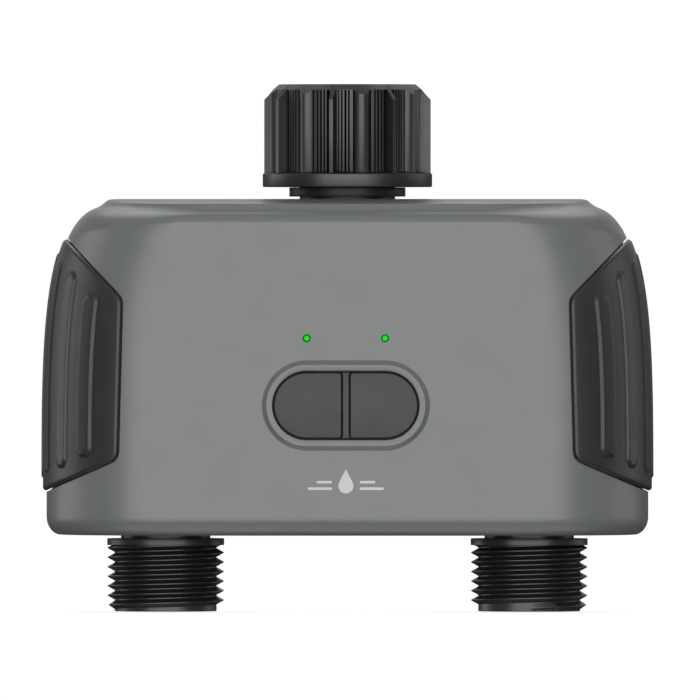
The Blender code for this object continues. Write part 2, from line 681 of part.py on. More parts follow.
def make_inlet():
    """The swivel connection, from the washer down to the clip inside the housing."""
    make_inlet_nut()
    ring = ((7.6 * MM, 3.0 * MM), (12.2 * MM, 3.0 * MM), (12.2 * MM, 0), (7.6 * MM, 0))
    turned("inlet_washer", ring, (0, 0, 105.9 * MM), finish=SEAL, closed=True)
    basket = ((0, 0.6 * MM), (5.6 * MM, 0.6 * MM), (6.0 * MM, 10.6 * MM), (11.6 * MM, 10.6 * MM),
              (11.6 * MM, 9.8 * MM), (6.5 * MM, 9.8 * MM), (6.2 * MM, 0), (0, 0))
    turned("inlet_filter", basket, (0, 0, 95.0 * MM), finish=MESH, segments=18)
    neck = (
        (NECK_BORE, 104.5 * MM), (12.3 * MM, 104.5 * MM), (12.3 * MM, 102.05 * MM),
        (NECK_RADIUS, 102.05 * MM), (NECK_RADIUS, 92.1 * MM), (9.4 * MM, 92.1 * MM),
        (9.4 * MM, 90.0 * MM), (NECK_RADIUS, 90.0 * MM),
        (NECK_RADIUS, 89.8 * MM), (8.7 * MM, 89.8 * MM), (8.7 * MM, 87.3 * MM), (7.0 * MM, 87.3 * MM),
        (7.0 * MM, 85.1 * MM), (8.7 * MM, 85.1 * MM), (8.7 * MM, 83.0 * MM), (6.0 * MM, 83.0 * MM),
        (6.0 * MM, 93.0 * MM), (NECK_BORE, 94.2 * MM),
    )
    turned("inlet_neck", neck, (0, 0, 0), finish=BLACK, closed=True, segments=20)
    collar = ((11.4 * MM, 1.9 * MM), (13.2 * MM, 1.9 * MM), (13.5 * MM, 1.6 * MM), (13.5 * MM, 0.3 * MM),
              (13.1 * MM, 0), (11.4 * MM, 0))
    turned("swivel_collar", collar, (0, 0, 96.35 * MM), finish=BLACK, closed=True)
    band = ((9.7 * MM, 1.5 * MM), (13.2 * MM, 1.5 * MM), (13.2 * MM, 0), (9.7 * MM, 0))
    clip = turned("neck_clip", band, (0, 0, 90.3 * MM), finish=STEEL, closed=True)
    carve(clip, box("clip_mouth", (-6 * MM, 0, 89 * MM), (6 * MM, 20 * MM, 93 * MM)))
    o_ring("neck_o_ring", 8.0 * MM, 0.7 * MM, (0, 0, 86.2 * MM))


# ---- water path -------------------------------------------------------------------------
def make_manifold():
    """One moulding: inlet socket, cross pipe, two valve chambers and two outlet sockets."""
    reach = OUTLET_X + 8.7 * MM
    bore = OUTLET_X + 3 * MM
    manifold = cylinder("manifold", 8 * MM, 2 * reach, (-reach, 0, CROSS_HEIGHT), "+X", INNER, segments=16)
    join(manifold, cylinder("inlet_socket", 11.6 * MM, 9.1 * MM, (0, 0, 80.4 * MM)))
    for side_name, sign in SIDES.items():
        x = sign * OUTLET_X
        chamber = (x, CHAMBER_FRONT, CHAMBER_HEIGHT)
        join(manifold, cylinder(side_name + "_riser", 8.8 * MM, 48 * MM, (x, 0, 37 * MM)))
        join(manifold, cylinder(side_name + "_chamber", CHAMBER_RADIUS, 15 * MM, chamber, "+Y"))
        join(manifold, cylinder(side_name + "_socket", 12.2 * MM, 15.2 * MM, (x, 0, 23.3 * MM)))
    cuts = [
        cylinder("cross_bore", 5.5 * MM, 2 * bore, (-bore, 0, CROSS_HEIGHT), "+X", segments=16),
        cylinder("inlet_bore", 6 * MM, 6 * MM, (0, 0, CROSS_HEIGHT), segments=16),
        cylinder("inlet_socket_bore", 9 * MM, 10 * MM, (0, 0, 82.7 * MM)),
    ]
    for side_name, sign in SIDES.items():
        x = sign * OUTLET_X
        front = (x, CHAMBER_FRONT - MM, CHAMBER_HEIGHT)
        cavity = cylinder(side_name + "_chamber_bore", 12 * MM, 7 * MM, front, "+Y")
        seat = (x, CHAMBER_FRONT + 0.6 * MM, CHAMBER_HEIGHT)
        carve(cavity, cylinder(side_name + "_seat", 5.6 * MM, 8 * MM, seat, "+Y", segments=16))
        cuts += [
            cavity,
            cylinder(side_name + "_supply", 1.8 * MM, 14 * MM, (x, -5.5 * MM, 65 * MM), segments=12),
            cylinder(side_name + "_seat_bore", 4 * MM, 12 * MM, front, "+Y", segments=16),
            cylinder(side_name + "_drop", 3.8 * MM, 24 * MM, (x, 1.5 * MM, 35 * MM), segments=16),
            cylinder(side_name + "_socket_bore", SOCKET_BORE, 14 * MM, (x, 0, 22 * MM)),
        ]
    carve(manifold, *cuts)
    return manifold


def thread_points(angle):
    """Crests and roots of the hose thread down one side, as (radius, height) points."""
    points = []
    for turn in range(THREAD_TURNS + 1):
        crest = THREAD_PHASE + THREAD_PITCH * (angle / (2 * pi) + 1 - turn)
        for height, radius in ((crest, THREAD_CREST), (crest - THREAD_PITCH / 2, THREAD_ROOT)):
            level = min(max(height, THREAD_BOTTOM), THREAD_TOP)
            end_distance = min(THREAD_TOP - height, height - THREAD_BOTTOM)
            fade = min(max(end_distance / (0.6 * MM), 0), 1)
            points.append((THREAD_ROOT + (radius - THREAD_ROOT) * fade, level))
    return points


def make_outlet(side_name):
    """Outlet spout: hose thread below, flange in the middle, plug with a seal groove above."""
    centre = SIDES[side_name] * OUTLET_X
    above = [
        (OUTLET_BORE, OUTLET_TOP), (10.3 * MM, OUTLET_TOP), (10.3 * MM, 31.2 * MM), (8.4 * MM, 31.2 * MM),
        (8.4 * MM, 29.0 * MM), (10.3 * MM, 29.0 * MM), (10.3 * MM, 22.9 * MM), (13.0 * MM, 22.9 * MM),
        (13.0 * MM, 20.95 * MM), (OUTLET_NECK, 20.95 * MM), (OUTLET_NECK, 17.05 * MM),
        (OUTLET_FLANGE, 17.05 * MM), (OUTLET_FLANGE, 15.56 * MM), (THREAD_ROOT, 15.56 * MM),
    ]
    below = [(THREAD_ROOT, 0.3 * MM), (THREAD_ROOT - 0.3 * MM, 0), (OUTLET_BORE, 0)]
    rings = []
    for column in range(THREAD_COLUMNS + 1):
        angle = 2 * pi * column / THREAD_COLUMNS
        profile = above + thread_points(angle) + below
        rings.append([(centre + r * cos(angle), r * sin(angle), z) for r, z in profile])
    return loft(side_name + "_outlet", rings, BLACK, caps=False)


def make_valve(side_name):
    """Solenoid valve: diaphragm, bonnet with guide tube, coil, plunger and spring."""
    x = SIDES[side_name] * OUTLET_X
    face = CHAMBER_FRONT - GAP
    disc = ((0, 1.5 * MM), (4 * MM, 1.5 * MM), (4.6 * MM, 1.1 * MM), (10 * MM, 1.1 * MM),
            (10.6 * MM, 1.5 * MM), (13.6 * MM, 1.5 * MM), (13.6 * MM, 0), (0, 0))
    turned(side_name + "_diaphragm", disc, (x, face, CHAMBER_HEIGHT), "-Y", SEAL, segments=18)
    bonnet = ((0, 14.9 * MM), (4.5 * MM, 14.9 * MM), (4.5 * MM, 3.0 * MM), (15.5 * MM, 3.0 * MM),
              (15.5 * MM, 0), (3.2 * MM, 0), (3.2 * MM, 13.9 * MM), (0, 13.9 * MM))
    turned(side_name + "_bonnet", bonnet, (x, face - 1.8 * MM, CHAMBER_HEIGHT), "-Y", INNER, segments=18)
    coil = ((4.8 * MM, 10.5 * MM), (9.6 * MM, 10.5 * MM), (9.6 * MM, 9.3 * MM), (8.8 * MM, 9.3 * MM),
            (8.8 * MM, 1.2 * MM), (9.6 * MM, 1.2 * MM), (9.6 * MM, 0), (4.8 * MM, 0))
    turned(side_name + "_coil", coil, (x, -14.5 * MM, CHAMBER_HEIGHT), "-Y", WINDING, segments=18,
           closed=True)
    plunger = ((0, 8 * MM), (2.5 * MM, 8 * MM), (2.9 * MM, 7.6 * MM), (2.9 * MM, 0.6 * MM),
               (2.0 * MM, 0), (0, 0))
    turned(side_name + "_plunger", plunger, (x, -12.1 * MM, CHAMBER_HEIGHT), "-Y", STEEL, segments=16)
    turns, steps = 3, 6
    start, length, radius = -20.8 * MM, 3.4 * MM, 2.1 * MM
    points = []
    for i in range(turns * steps + 1):
        angle = 2 * pi * i / steps
        points.append((x + radius * cos(angle), start - length * i / (turns * steps),
                       CHAMBER_HEIGHT + radius * sin(angle)))
    cord(side_name + "_plunger_spring", points, 0.25 * MM, STEEL, sides=1)


# ---- battery compartment ----------------------------------------------------------------
def make_battery_door():
    """Lift-off door with recesses for its two captive screws."""
    outer = rounded_rectangle(DOOR_HALF, DOOR_LOW, DOOR_HIGH, DOOR_CORNER)
    inner = rounded_rectangle(DOOR_HALF - MM, DOOR_LOW + MM, DOOR_HIGH - MM, DOOR_CORNER - MM)
    levels = ((outer, DOOR_INNER), (outer, HALF_DEPTH), (inner, DOOR_OUTER))
    door = loft("battery_door", [[(x, y, z) for x, z in outline] for outline, y in levels], GREY)
    for side_name, spot in mirrored(DOOR_SCREW).items():
        carve(door, boss(side_name + "_door_screw_seat", spot, 29.9 * MM, 33 * MM, 4.2 * MM))
        carve(door, boss(side_name + "_door_screw_way", spot, 28 * MM, 31 * MM, 1.9 * MM))
    return door


def make_door_screw(side_name):
    """Captive screw with a coin slot."""
    x, z = mirrored(DOOR_SCREW)[side_name]
    profile = ((0, 8.4 * MM), (3.5 * MM, 8.4 * MM), (3.8 * MM, 8.1 * MM), (3.8 * MM, 6.7 * MM),
               (1.5 * MM, 6.7 * MM), (1.5 * MM, 0.5 * MM), (1.1 * MM, 0), (0, 0))
    screw = turned(side_name + "_door_screw", profile, (x, 23.5 * MM, z), "+Y", BLACK, segments=20)
    carve(screw, box(side_name + "_coin_slot", (x - 6 * MM, 30.9 * MM, z - 0.7 * MM),
                     (x + 6 * MM, 33 * MM, z + 0.7 * MM)))
    return screw


def make_case_screw(level, side_name):
    """Screw that holds the two housings together, hidden under a grip."""
    x, z = mirrored(CASE_SCREWS[level])[side_name]
    profile = ((0, 19.6 * MM), (2.6 * MM, 19.6 * MM), (2.6 * MM, 17.6 * MM), (1.4 * MM, 17.6 * MM),
               (1.4 * MM, 0.8 * MM), (0, 0))
    return turned(f"{level}_{side_name}_case_screw", profile, (x, -9 * MM, z), "+Y", STEEL, segments=10)


def make_battery_compartment():
    """Door, seal, tray, cells and contacts."""
    make_battery_door()
    seal = [(x, 28.0 * MM, z) for x, z in rounded_rectangle(31.7 * MM, 23.7 * MM, 79.8 * MM, 2.7 * MM)]
    cord("battery_door_seal", seal, 0.4 * MM, SEAL, cyclic=True, sides=1)
    for side_name in SIDES:
        make_door_screw(side_name)
        for level in CASE_SCREWS:
            make_case_screw(level, side_name)
    tray = box("battery_tray", (-31 * MM, 9.2 * MM, 24 * MM), (31 * MM, 25.6 * MM, 80 * MM), INNER)
    carve(tray, box("tray_pocket", (-29.7 * MM, 10.5 * MM, 25.3 * MM), (29.7 * MM, 27 * MM, 78.7 * MM)))
    for number in range(4):
        x = (number - 1.5) * CELL_SPACING
        up = number % 2 == 0
        cell = ((0, CELL_LENGTH), (2.6 * MM, CELL_LENGTH), (2.6 * MM, CELL_LENGTH - 1.2 * MM),
                (CELL_RADIUS - 0.5 * MM, CELL_LENGTH - 1.2 * MM), (CELL_RADIUS, CELL_LENGTH - 1.7 * MM),
                (CELL_RADIUS, 0.5 * MM), (CELL_RADIUS - 0.5 * MM, 0), (0, 0))
        base = (x, CELL_Y, 26.8 * MM if up else 26.8 * MM + CELL_LENGTH)
        turned(f"battery_cell_{number + 1}", cell, base, "+Z" if up else "-Z", CELL, segments=16)
    box("lower_contact", (-28 * MM, 12 * MM, 25.6 * MM), (28 * MM, 24 * MM, 26.2 * MM), NICKEL)
    box("upper_contact", (-28 * MM, 12 * MM, 77.7 * MM), (28 * MM, 24 * MM, 78.3 * MM), NICKEL)


# ---- electronics ------------------------------------------------------------------------
def make_electronics():
    """Main board with what it carries, and the cables that leave it."""
    board = box("main_board", (-28.5 * MM, BOARD_FRONT, 33 * MM), (28.5 * MM, BOARD_BACK, 69 * MM), BOARD)
    back = BOARD_BACK + GAP
    for side_name, (x, z) in mirrored(BOARD_SCREW).items():
        carve(board, boss(side_name + "_board_hole", (x, z), -21 * MM, -17 * MM, 1.3 * MM))
        profile = ((0, 7.4 * MM), (2.0 * MM, 7.4 * MM), (2.0 * MM, 6.2 * MM), (0.8 * MM, 6.2 * MM),
                   (0.8 * MM, 0), (0, 0))
        turned(side_name + "_board_screw", profile, (x, back - 6.2 * MM, z), "+Y", STEEL, segments=10)
    box("radio_module", (-8 * MM, back, 56 * MM), (8 * MM, back + 2.4 * MM, 68 * MM), NICKEL,
        edge=0.3 * MM)
    cylinder("storage_capacitor", 4 * MM, 9 * MM, (-16 * MM, back, 41 * MM), "+Y", CHIP, segments=16)
    for side_name, sign in SIDES.items():
        route = ((26.0, -16.8, 42.0), (28.6, -16.6, 43.5), (30.6, -17.4, 46.2), (32.0, -18.8, 49.2),
                 (33.4, -19.8, 52.0))
        points = [(sign * x * MM, y * MM, z * MM) for x, y, z in route]
        cord(side_name + "_solenoid_cable", points, 0.9 * MM, WIRE)
    route = ((20.0, 7.9, 36.0), (20.0, 4.0, 34.0), (19.0, -2.0, 32.6), (17.0, -8.5, 32.8),
             (15.0, -13.5, 35.0), (13.5, -16.8, 39.0))
    cord("battery_cable", [(x * MM, y * MM, z * MM) for x, y, z in route], 1.1 * MM, WIRE)


# ---- assembly ---------------------------------------------------------------------------
grip_cuts = grip_pockets()
make_front_housing(grip_cuts)
make_rear_housing(grip_cuts)
for side in SIDES:
    make_grip(side)
    make_valve(side)
    make_outlet(side)
    o_ring(side + "_outlet_o_ring", 9.5 * MM, 0.75 * MM, (SIDES[side] * OUTLET_X, 0, 30.1 * MM))
make_keypad()
make_inlet()
make_manifold()
make_battery_compartment()
make_electronics()
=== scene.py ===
"""Finished surfaces of the two-outlet drip irrigation timer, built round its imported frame.

Shapes are worked out in millimetres and scaled to metres when a mesh is made.  The keypad faces
-Y, the battery door faces +Y and the tap screws in from above.
"""
import json
from math import acos, cos, hypot, pi, radians, sin, sqrt, tan

import bmesh
import bpy
from mathutils import Matrix, Vector


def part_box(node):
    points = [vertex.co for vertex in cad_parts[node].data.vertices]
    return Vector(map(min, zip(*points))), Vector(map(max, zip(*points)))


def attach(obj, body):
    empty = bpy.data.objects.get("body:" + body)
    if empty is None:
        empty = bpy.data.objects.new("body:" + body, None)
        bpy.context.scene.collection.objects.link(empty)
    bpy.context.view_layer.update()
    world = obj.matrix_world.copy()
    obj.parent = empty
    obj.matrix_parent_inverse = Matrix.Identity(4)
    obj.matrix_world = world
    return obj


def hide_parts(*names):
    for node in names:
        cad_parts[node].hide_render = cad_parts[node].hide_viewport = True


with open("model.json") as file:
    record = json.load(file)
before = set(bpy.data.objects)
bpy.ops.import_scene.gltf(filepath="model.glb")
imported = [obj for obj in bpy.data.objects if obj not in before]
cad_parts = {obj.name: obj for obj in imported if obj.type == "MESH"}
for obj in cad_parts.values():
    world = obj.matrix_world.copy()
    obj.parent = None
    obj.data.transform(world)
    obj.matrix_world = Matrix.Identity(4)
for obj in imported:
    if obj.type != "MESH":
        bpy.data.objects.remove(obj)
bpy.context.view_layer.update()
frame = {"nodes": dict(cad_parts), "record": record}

MM = 0.001
WELD = 0.0000005                    # metres; points closer than this are one


def node_box(node):
    """Lowest and highest corner of a CAD node, in millimetres."""
    low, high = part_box(node)
    return [value / MM for value in low], [value / MM for value in high]


def node_centre(node):
    """Middle of a CAD node's box, in millimetres."""
    low, high = node_box(node)
    return [(a + b) / 2 for a, b in zip(low, high)]


# ---- driving dimensions (millimetres) ----
SIDES = {"left": -1, "right": 1}

# housing, as in the frame
(_, PAD_FRONT, BODY_BOTTOM), (HALF_WIDTH, _, BODY_TOP) = node_box("front_housing")
HALF_DEPTH = 31.0
END_RADIUS = 26.0                   # the ends are half ellipses, END_RADIUS by HALF_DEPTH
BOTTOM_RISE = 4.2                   # height of the bottom fillet ...
BOTTOM_REACH = (3.3, 4.9)           # ... and how far it goes in at the ends and at the front
WALL = 2.8
CEILING = (60.0, 29.0, 92.6)        # half width, half depth and height of the inside at its top
SPLIT = 0.15                        # half of the joint between the two housings
SPLIT_CHAMFER = 0.25
CUT_OUT = 40.0                      # cutters reach this far out, past every surface
SWEEP_START = 25.0                  # the ends lean in above this height ...
SWEEP_RISE = 69.6                   # ... along a superellipse this high ...
SWEEP_INSET = 19.75                 # ... and this wide ...
SWEEP_POWER = 3.6                   # ... of this power
SWEEP_END = 76.6                    # turn of the superellipse at the plateau, degrees
SHOULDER_TURN = 54.0                # the front and back shoulders begin with this turn
SHOULDER_TILT = 65.0
SHOULDER_RADIUS = 2.9
SHOULDER_HEIGHT = 90.0
PLATEAU = (                         # half width, half depth, height at the ends and at the front
    (58.35, 28.75, 93.75, 93.12), (57.60, 28.35, 94.12, 93.60), (56.95, 27.95, 94.55, 94.20),
    (56.30, 27.62, 95.05, 94.72), (55.65, 23.50, 95.55, 95.52), (54.40, 18.80, BODY_TOP, BODY_TOP),
)

# side grips
GRIP_CORNERS = (                    # outline seen from the front, with the corners' radii
    (74.0, 96.05, 0.0), (51.54, 72.82, 3.6), (52.535, 35.32, 3.1), (74.0, 25.99, 0.0),
)
GRIP_SEARCH = ((55.0, 10.0), (55.0, 94.0))     # heights inside and outside it, below and above
GRIP_GAP = 0.3
GRIP_PROUD = 0.86
GRIP_EDGE = 0.72                    # radius of the rounded rim
GRIP_INNER = 1.2
POCKET_DEPTH = 1.5
RIB_PITCH = 17.0                    # degrees round the end ellipse
RIB_HALF = 4.2                      # degrees
RIB_HEIGHTS = (0.36, 0.5, 0.52, 0.64)      # middle rib, then those beside it
RIB_FLANK = 0.56                    # width of a rib's sloping sides
RIB_CORNER = 0.1                    # rounded share of a flank at its foot and top
RIB_COLUMNS = (-0.62, -0.5, -0.38, -0.13, 0.13, 0.38, 0.5, 0.62)     # shares of a flank
RIB_SPANS = ((31.2, 83.1), (32.4, 81.4), (33.6, 78.9), (36.1, 74.0))

# keypad
KEYPAD_HEIGHT = node_centre("keypad_bezel")[2]
PAD_SIZE = (38.9, 20.9)
PAD_CHAMFER = 1.04
OPENING_SIZE = (34.1, 16.0)
BUTTON_GAP = 0.45
BAR_HALF = 0.69
BUTTON_CORNER = 0.42
LED_HOLE = 0.98
LED_X, _, LED_HEIGHT = node_centre("right_light_pipe")
LENS_RADIUS = 0.66

# inlet nut
NUT_LOW, NUT_HIGH = node_box("inlet_nut")
NUT_BOTTOM, NUT_TOP = NUT_LOW[2], NUT_HIGH[2]
NUT_FLANGE = 19.7
NUT_FLANGE_TOP = 101.75
NUT_FLUTE_BOTTOM = 102.2
NUT_FIN = 19.63
NUT_RIM = 16.1
NUT_CHAMFER_START = 118.9
NUT_VALLEY = 15.95
NUT_GROOVE = 15.6
NUT_RIDGE = 17.35
NUT_WIDE = 18.45
NUT_SECTORS = 8
NUT_FIN_ANGLE = -10.5               # degrees from the front towards +X
NUT_RIDGES = ((4.97, 6.23), (7.4, 8.9), (10.35, 11.65), (12.9, 15.4))     # degrees from a fin
NUT_WIDE_SPAN = (16.6, 28.4)
NECK_RADIUS = 11.1
NUT_THREAD = (12.62, 13.7)          # radii of the inside thread's crests and roots ...
NUT_THREAD_SPAN = (110.6, NUT_TOP - 1.6)     # ... which fade out at these heights
NUT_THREAD_FIRST = 121.5
WIRE_RADIUS = 0.09                  # of the strainer's mesh
STRAINER_WALL = 6.05

# hose thread
OUTLET_X = node_centre("right_outlet")[0]
THREAD_CREST = 13.5
THREAD_ROOT = 11.84
THREAD_PITCH = 2.209
THREAD_FLAT = 0.09                  # half height of the crests and roots
THREAD_FIRST = 1.47                 # height of the first crest a quarter turn from the thread's start
THREAD_START = -pi / 2              # the thread starts at the front of the right outlet ...
THREAD_GROWTH = radians(130)        # ... and grows to its full height over this turn
THREAD_TOP = 15.37
THREAD_BOTTOM = 0.3
THREAD_TURNS = 7
FLANGE_TOP = 16.93
OUTLET_BORE = 7.2
OUTLET_NECK = 10.3

# battery side
CELL_COUNT = 4
DOOR_GAP = 0.3
SCREW_WAY = 1.9                     # radius of the holes for the door screws' shanks


# ---- mesh tools ----
def piece(name, verts, faces, crisp=35.0):
    """A mesh object from points in millimetres, smooth except where it turns by more than crisp."""
    work = bmesh.new()
    made = [work.verts.new([value * MM for value in point]) for point in verts]
    for face in faces:
        work.faces.new([made[i] for i in face])
    bmesh.ops.remove_doubles(work, verts=work.verts, dist=WELD)
    bmesh.ops.dissolve_degenerate(work, edges=work.edges, dist=WELD)
    bmesh.ops.recalc_face_normals(work, faces=work.faces)
    mesh = bpy.data.meshes.new(name)
    work.to_mesh(mesh)
    work.free()
    mesh.shade_smooth()
    mesh.set_sharp_from_angle(angle=radians(crisp))
    placed = bpy.data.objects.new(name, mesh)
    bpy.context.scene.collection.objects.link(placed)
    return placed


def skin(name, rows, ends="capped", loops=True, crisp=35.0):
    """A surface over rows of points, which are loops or lines; the ends are capped, joined or open."""
    count = len(rows[0])
    faces = []
    for lower in range(len(rows) if ends == "joined" else len(rows) - 1):
        upper = (lower + 1) % len(rows)
        for i in range(count if loops else count - 1):
            j = (i + 1) % count
            faces.append((lower * count + i, lower * count + j, upper * count + j, upper * count + i))
    if ends == "capped":
        faces.append(tuple(range(count - 1, -1, -1)))
        faces.append(tuple((len(rows) - 1) * count + i for i in range(count)))
    return piece(name, [point for row in rows for point in row], faces, crisp)


def arc(radius, first, last, steps, centre=(0, 0)):
    """Points of an arc between two turns, in degrees."""
    turns = [radians(first + (last - first) * step / steps) for step in range(steps + 1)]
    return [(centre[0] + radius * cos(turn), centre[1] + radius * sin(turn)) for turn in turns]


def rounded(corners, closed=True, steps=5):
    """Points of a polygon whose corners (x, y, radius) are rounded by arcs."""
    points = []
    count = len(corners)
    for i, (x, y, radius) in enumerate(corners):
        ends = not closed and i in (0, count - 1)
        if radius == 0 or ends:
            points.append((x, y))
            continue
        here = Vector((x, y))
        before = (Vector(corners[i - 1][:2]) - here).normalized()
        after = (Vector(corners[(i + 1) % count][:2]) - here).normalized()
        half = before.angle(after) / 2
        reach = radius / tan(half)
        centre = here + (before + after).normalized() * (radius / sin(half))
        start = here + before * reach - centre
        end = here + after * reach - centre
        turn = start.angle_signed(end)
        for step in range(steps + 1):
            spot = start.copy()
            spot.rotate(Matrix.Rotation(-turn * step / steps, 2))
            points.append(tuple(centre + spot))
    return points


def turned(name, profile, centre=(0, 0, 0), axis="Z", closed=True, segments=96):
    """A piece turned about the Z or Y axis from (radius, position along the axis) points."""
    rows = []
    for step in range(segments):
        angle = 2 * pi * step / segments
        row = []
        for radius, along in profile:
            a, b = radius * cos(angle), radius * sin(angle)
            spot = (a, b, along) if axis == "Z" else (a, along, b)
            row.append(tuple(c + p for c, p in zip(centre, spot)))
        rows.append(row)
    return skin(name, rows, "joined", closed)


def plug(name, radius, centre, low, high, axis="Y", segments=48):
    """A round cutter, post or disc between two positions along its axis."""
    profile = ((0, low), (radius, low), (radius, high), (0, high))
    return turned(name, profile, centre, axis, closed=False, segments=segments)


def inset(outline, distance):
    """Moves every side of an outline inwards by distance."""
    area = sum(a[0] * b[1] - b[0] * a[1] for a, b in zip(outline, outline[1:] + outline[:1]))
    sign = 1 if area > 0 else -1
    moved = []
    for before, here, after in zip(outline[-1:] + outline[:-1], outline, outline[1:] + outline[:1]):
        normals = []
        for a, b in ((before, here), (here, after)):
            normals.append(Vector((a[1] - b[1], b[0] - a[0])).normalized() * sign)
        middle = (normals[0] + normals[1]).normalized()
        reach = distance / max(middle.dot(normals[0]), 0.2)
        moved.append((here[0] + middle.x * reach, here[1] + middle.y * reach))
    return moved


def slab(name, outline, back, front, edge=0.0, steps=4):
    """An (x, z) outline given thickness along Y, with its front rim rounded by edge."""
    toward = 1 if front > back else -1
    rows = [[(x, back, z) for x, z in outline]]
    for step in range(steps + 1 if edge else 1):
        turn = radians(90 * step / steps)
        rim = inset(outline, edge * (1 - cos(turn))) if step else outline
        rows.append([(x, front - toward * edge * (1 - sin(turn)), z) for x, z in rim])
    return skin(name, rows)


def combine(target, operation, *others):
    """Cuts or joins other shapes from or to a target, and removes them."""
    for other in others:
        step = target.modifiers.new(operation, "BOOLEAN")
        step.operation = operation
        step.solver = "EXACT"
        step.object = other
    depsgraph = bpy.context.evaluated_depsgraph_get()
    mesh = bpy.data.meshes.new_from_object(target.evaluated_get(depsgraph))
    target.modifiers.clear()
    target.data = mesh
    mesh.shade_smooth()
    mesh.set_sharp_from_angle(angle=radians(32))
    for other in others:
        bpy.data.objects.remove(other, do_unlink=True)
    return target


def merge(target, *others):
    """Puts the meshes of others in target's mesh without a Boolean."""
    work = bmesh.new()
    for source in (target, *others):
        work.from_mesh(source.data)
    work.to_mesh(target.data)
    work.free()
    for other in others:
        bpy.data.objects.remove(other, do_unlink=True)
    return target


# ---- outlines ----
def pill(width, height):
    """A slot outline about the keypad's centre."""
    radius = height / 2
    half = arc(radius, -90, 90, 32, (width / 2 - radius, 0))
    return [(side * x, KEYPAD_HEIGHT + side * z) for side in (1, -1) for x, z in half]


def half_pill(side, width, height, inner, corner):
    """One half of a slot outline beyond inner from the centre line, its inner corners cut."""
    radius = height / 2
    points = [(inner, -radius + corner), (inner + corner, -radius),
              *arc(radius, -90, 90, 32, (width / 2 - radius, 0)),
              (inner + corner, radius), (inner, radius - corner)]
    return [(side * x, KEYPAD_HEIGHT + z) for x, z in points]


def rounded_rectangle(low, high, radius, steps=8):
    """An upright rectangle between two (x, z) corners, with round corners."""
    corners = ((high[0], low[1]), (high[0], high[1]), (low[0], high[1]), (low[0], low[1]))
    return rounded([(x, z, radius) for x, z in corners], steps=steps)


def node_outline(node, radius, grow=0.0):
    """The outline of a node's box seen from the front, grown, with round corners."""
    low, high = node_box(node)
    return rounded_rectangle((low[0] - grow, low[2] - grow), (high[0] + grow, high[2] + grow), radius)


# ---- housing surface ----
def sweep(turn):
    """Half width and height of the leaning end at a turn of its superellipse, in degrees."""
    across = cos(radians(turn)) ** (2 / SWEEP_POWER)
    up = sin(radians(turn)) ** (2 / SWEEP_POWER)
    return HALF_WIDTH - SWEEP_INSET * (1 - across), SWEEP_START + SWEEP_RISE * up


def half_width_at(height):
    """Half width of the housing at a height above the bottom fillet."""
    if height <= SWEEP_START:
        return HALF_WIDTH
    up = min((height - SWEEP_START) / SWEEP_RISE, 1)
    return HALF_WIDTH - SWEEP_INSET * (1 - (1 - up ** SWEEP_POWER) ** (1 / SWEEP_POWER))


def smooth_rows(rows, steps):
    """A smooth curve through the second row up to the last, by cubic Hermite pieces."""
    vectors = [Vector(row) for row in rows]
    spans = [0.0]
    for before, after in zip(vectors, vectors[1:]):
        spans.append(spans[-1] + (after - before).length)
    slopes = []
    for i in range(len(vectors)):
        a, b = max(i - 1, 0), min(i + 1, len(vectors) - 1)
        slopes.append((vectors[b] - vectors[a]) / (spans[b] - spans[a]))
    curve = []
    for i in range(1, len(vectors) - 1):
        length = spans[i + 1] - spans[i]
        for step in range(steps):
            t = (step + 1) / steps
            curve.append(tuple(
                vectors[i] * (2 * t ** 3 - 3 * t ** 2 + 1) + slopes[i] * length * (t ** 3 - 2 * t ** 2 + t)
                + vectors[i + 1] * (3 * t ** 2 - 2 * t ** 3) + slopes[i + 1] * length * (t ** 3 - t ** 2)
            ))
    return curve


def body_rows(fillet_steps=12, sweep_steps=64, plateau_steps=6):
    """Rows up the housing: half width, half depth, height at the ends, height at the front."""
    rows = []
    for step in range(fillet_steps + 1):
        turn = radians(90 * step / fillet_steps)
        at_end, at_front = (reach * (1 - sin(turn)) for reach in BOTTOM_REACH)
        level = BODY_BOTTOM + BOTTOM_RISE * (1 - cos(turn))
        rows.append((HALF_WIDTH - at_end, HALF_DEPTH - at_front, level, level))
    for step in range(sweep_steps + 1):
        turn = SWEEP_END * (step / sweep_steps) ** 1.3
        width, side = sweep(turn)
        depth, front = HALF_DEPTH, side
        if turn >= SHOULDER_TURN:
            tilt = radians(SHOULDER_TILT * (turn - SHOULDER_TURN) / (SWEEP_END - SHOULDER_TURN))
            depth = HALF_DEPTH - SHOULDER_RADIUS * (1 - cos(tilt))
            front = SHOULDER_HEIGHT + SHOULDER_RADIUS * sin(tilt)
        rows.append((width, depth, side, front))
    return rows + smooth_rows(rows[-2:] + list(PLATEAU), plateau_steps)


def end_point(row, sign, turn, grow=0.0):
    """A point of a row at a turn round one end, in radians from the front."""
    width, depth, side, front = row
    return (sign * (width - END_RADIUS + (END_RADIUS + grow) * sin(turn)), -(depth + grow) * cos(turn),
            front + (side - front) * sin(turn) ** 2)


def half_ring(row, side, steps=56, grow=0.0):
    """One loop of the front (-1) or rear (+1) housing, closed along the joint."""
    width, depth, at_end = row[:3]
    last = acos(min((SPLIT + SPLIT_CHAMFER) / (depth + grow), 1))
    points = []
    for sign in (1, -1):
        end = [end_point(row, sign, last * step / steps, grow) for step in range(steps + 1)]
        end.append((sign * (width + grow - SPLIT_CHAMFER), -SPLIT, at_end))
        points += end if sign < 0 else reversed(end)
    return [(x, -side * y, z) for x, y, z in points]


def half_body(name, side):
    """The front or rear half of the housing's outer shape as a closed solid."""
    return skin(name, [half_ring(row, side) for row in body_rows()])


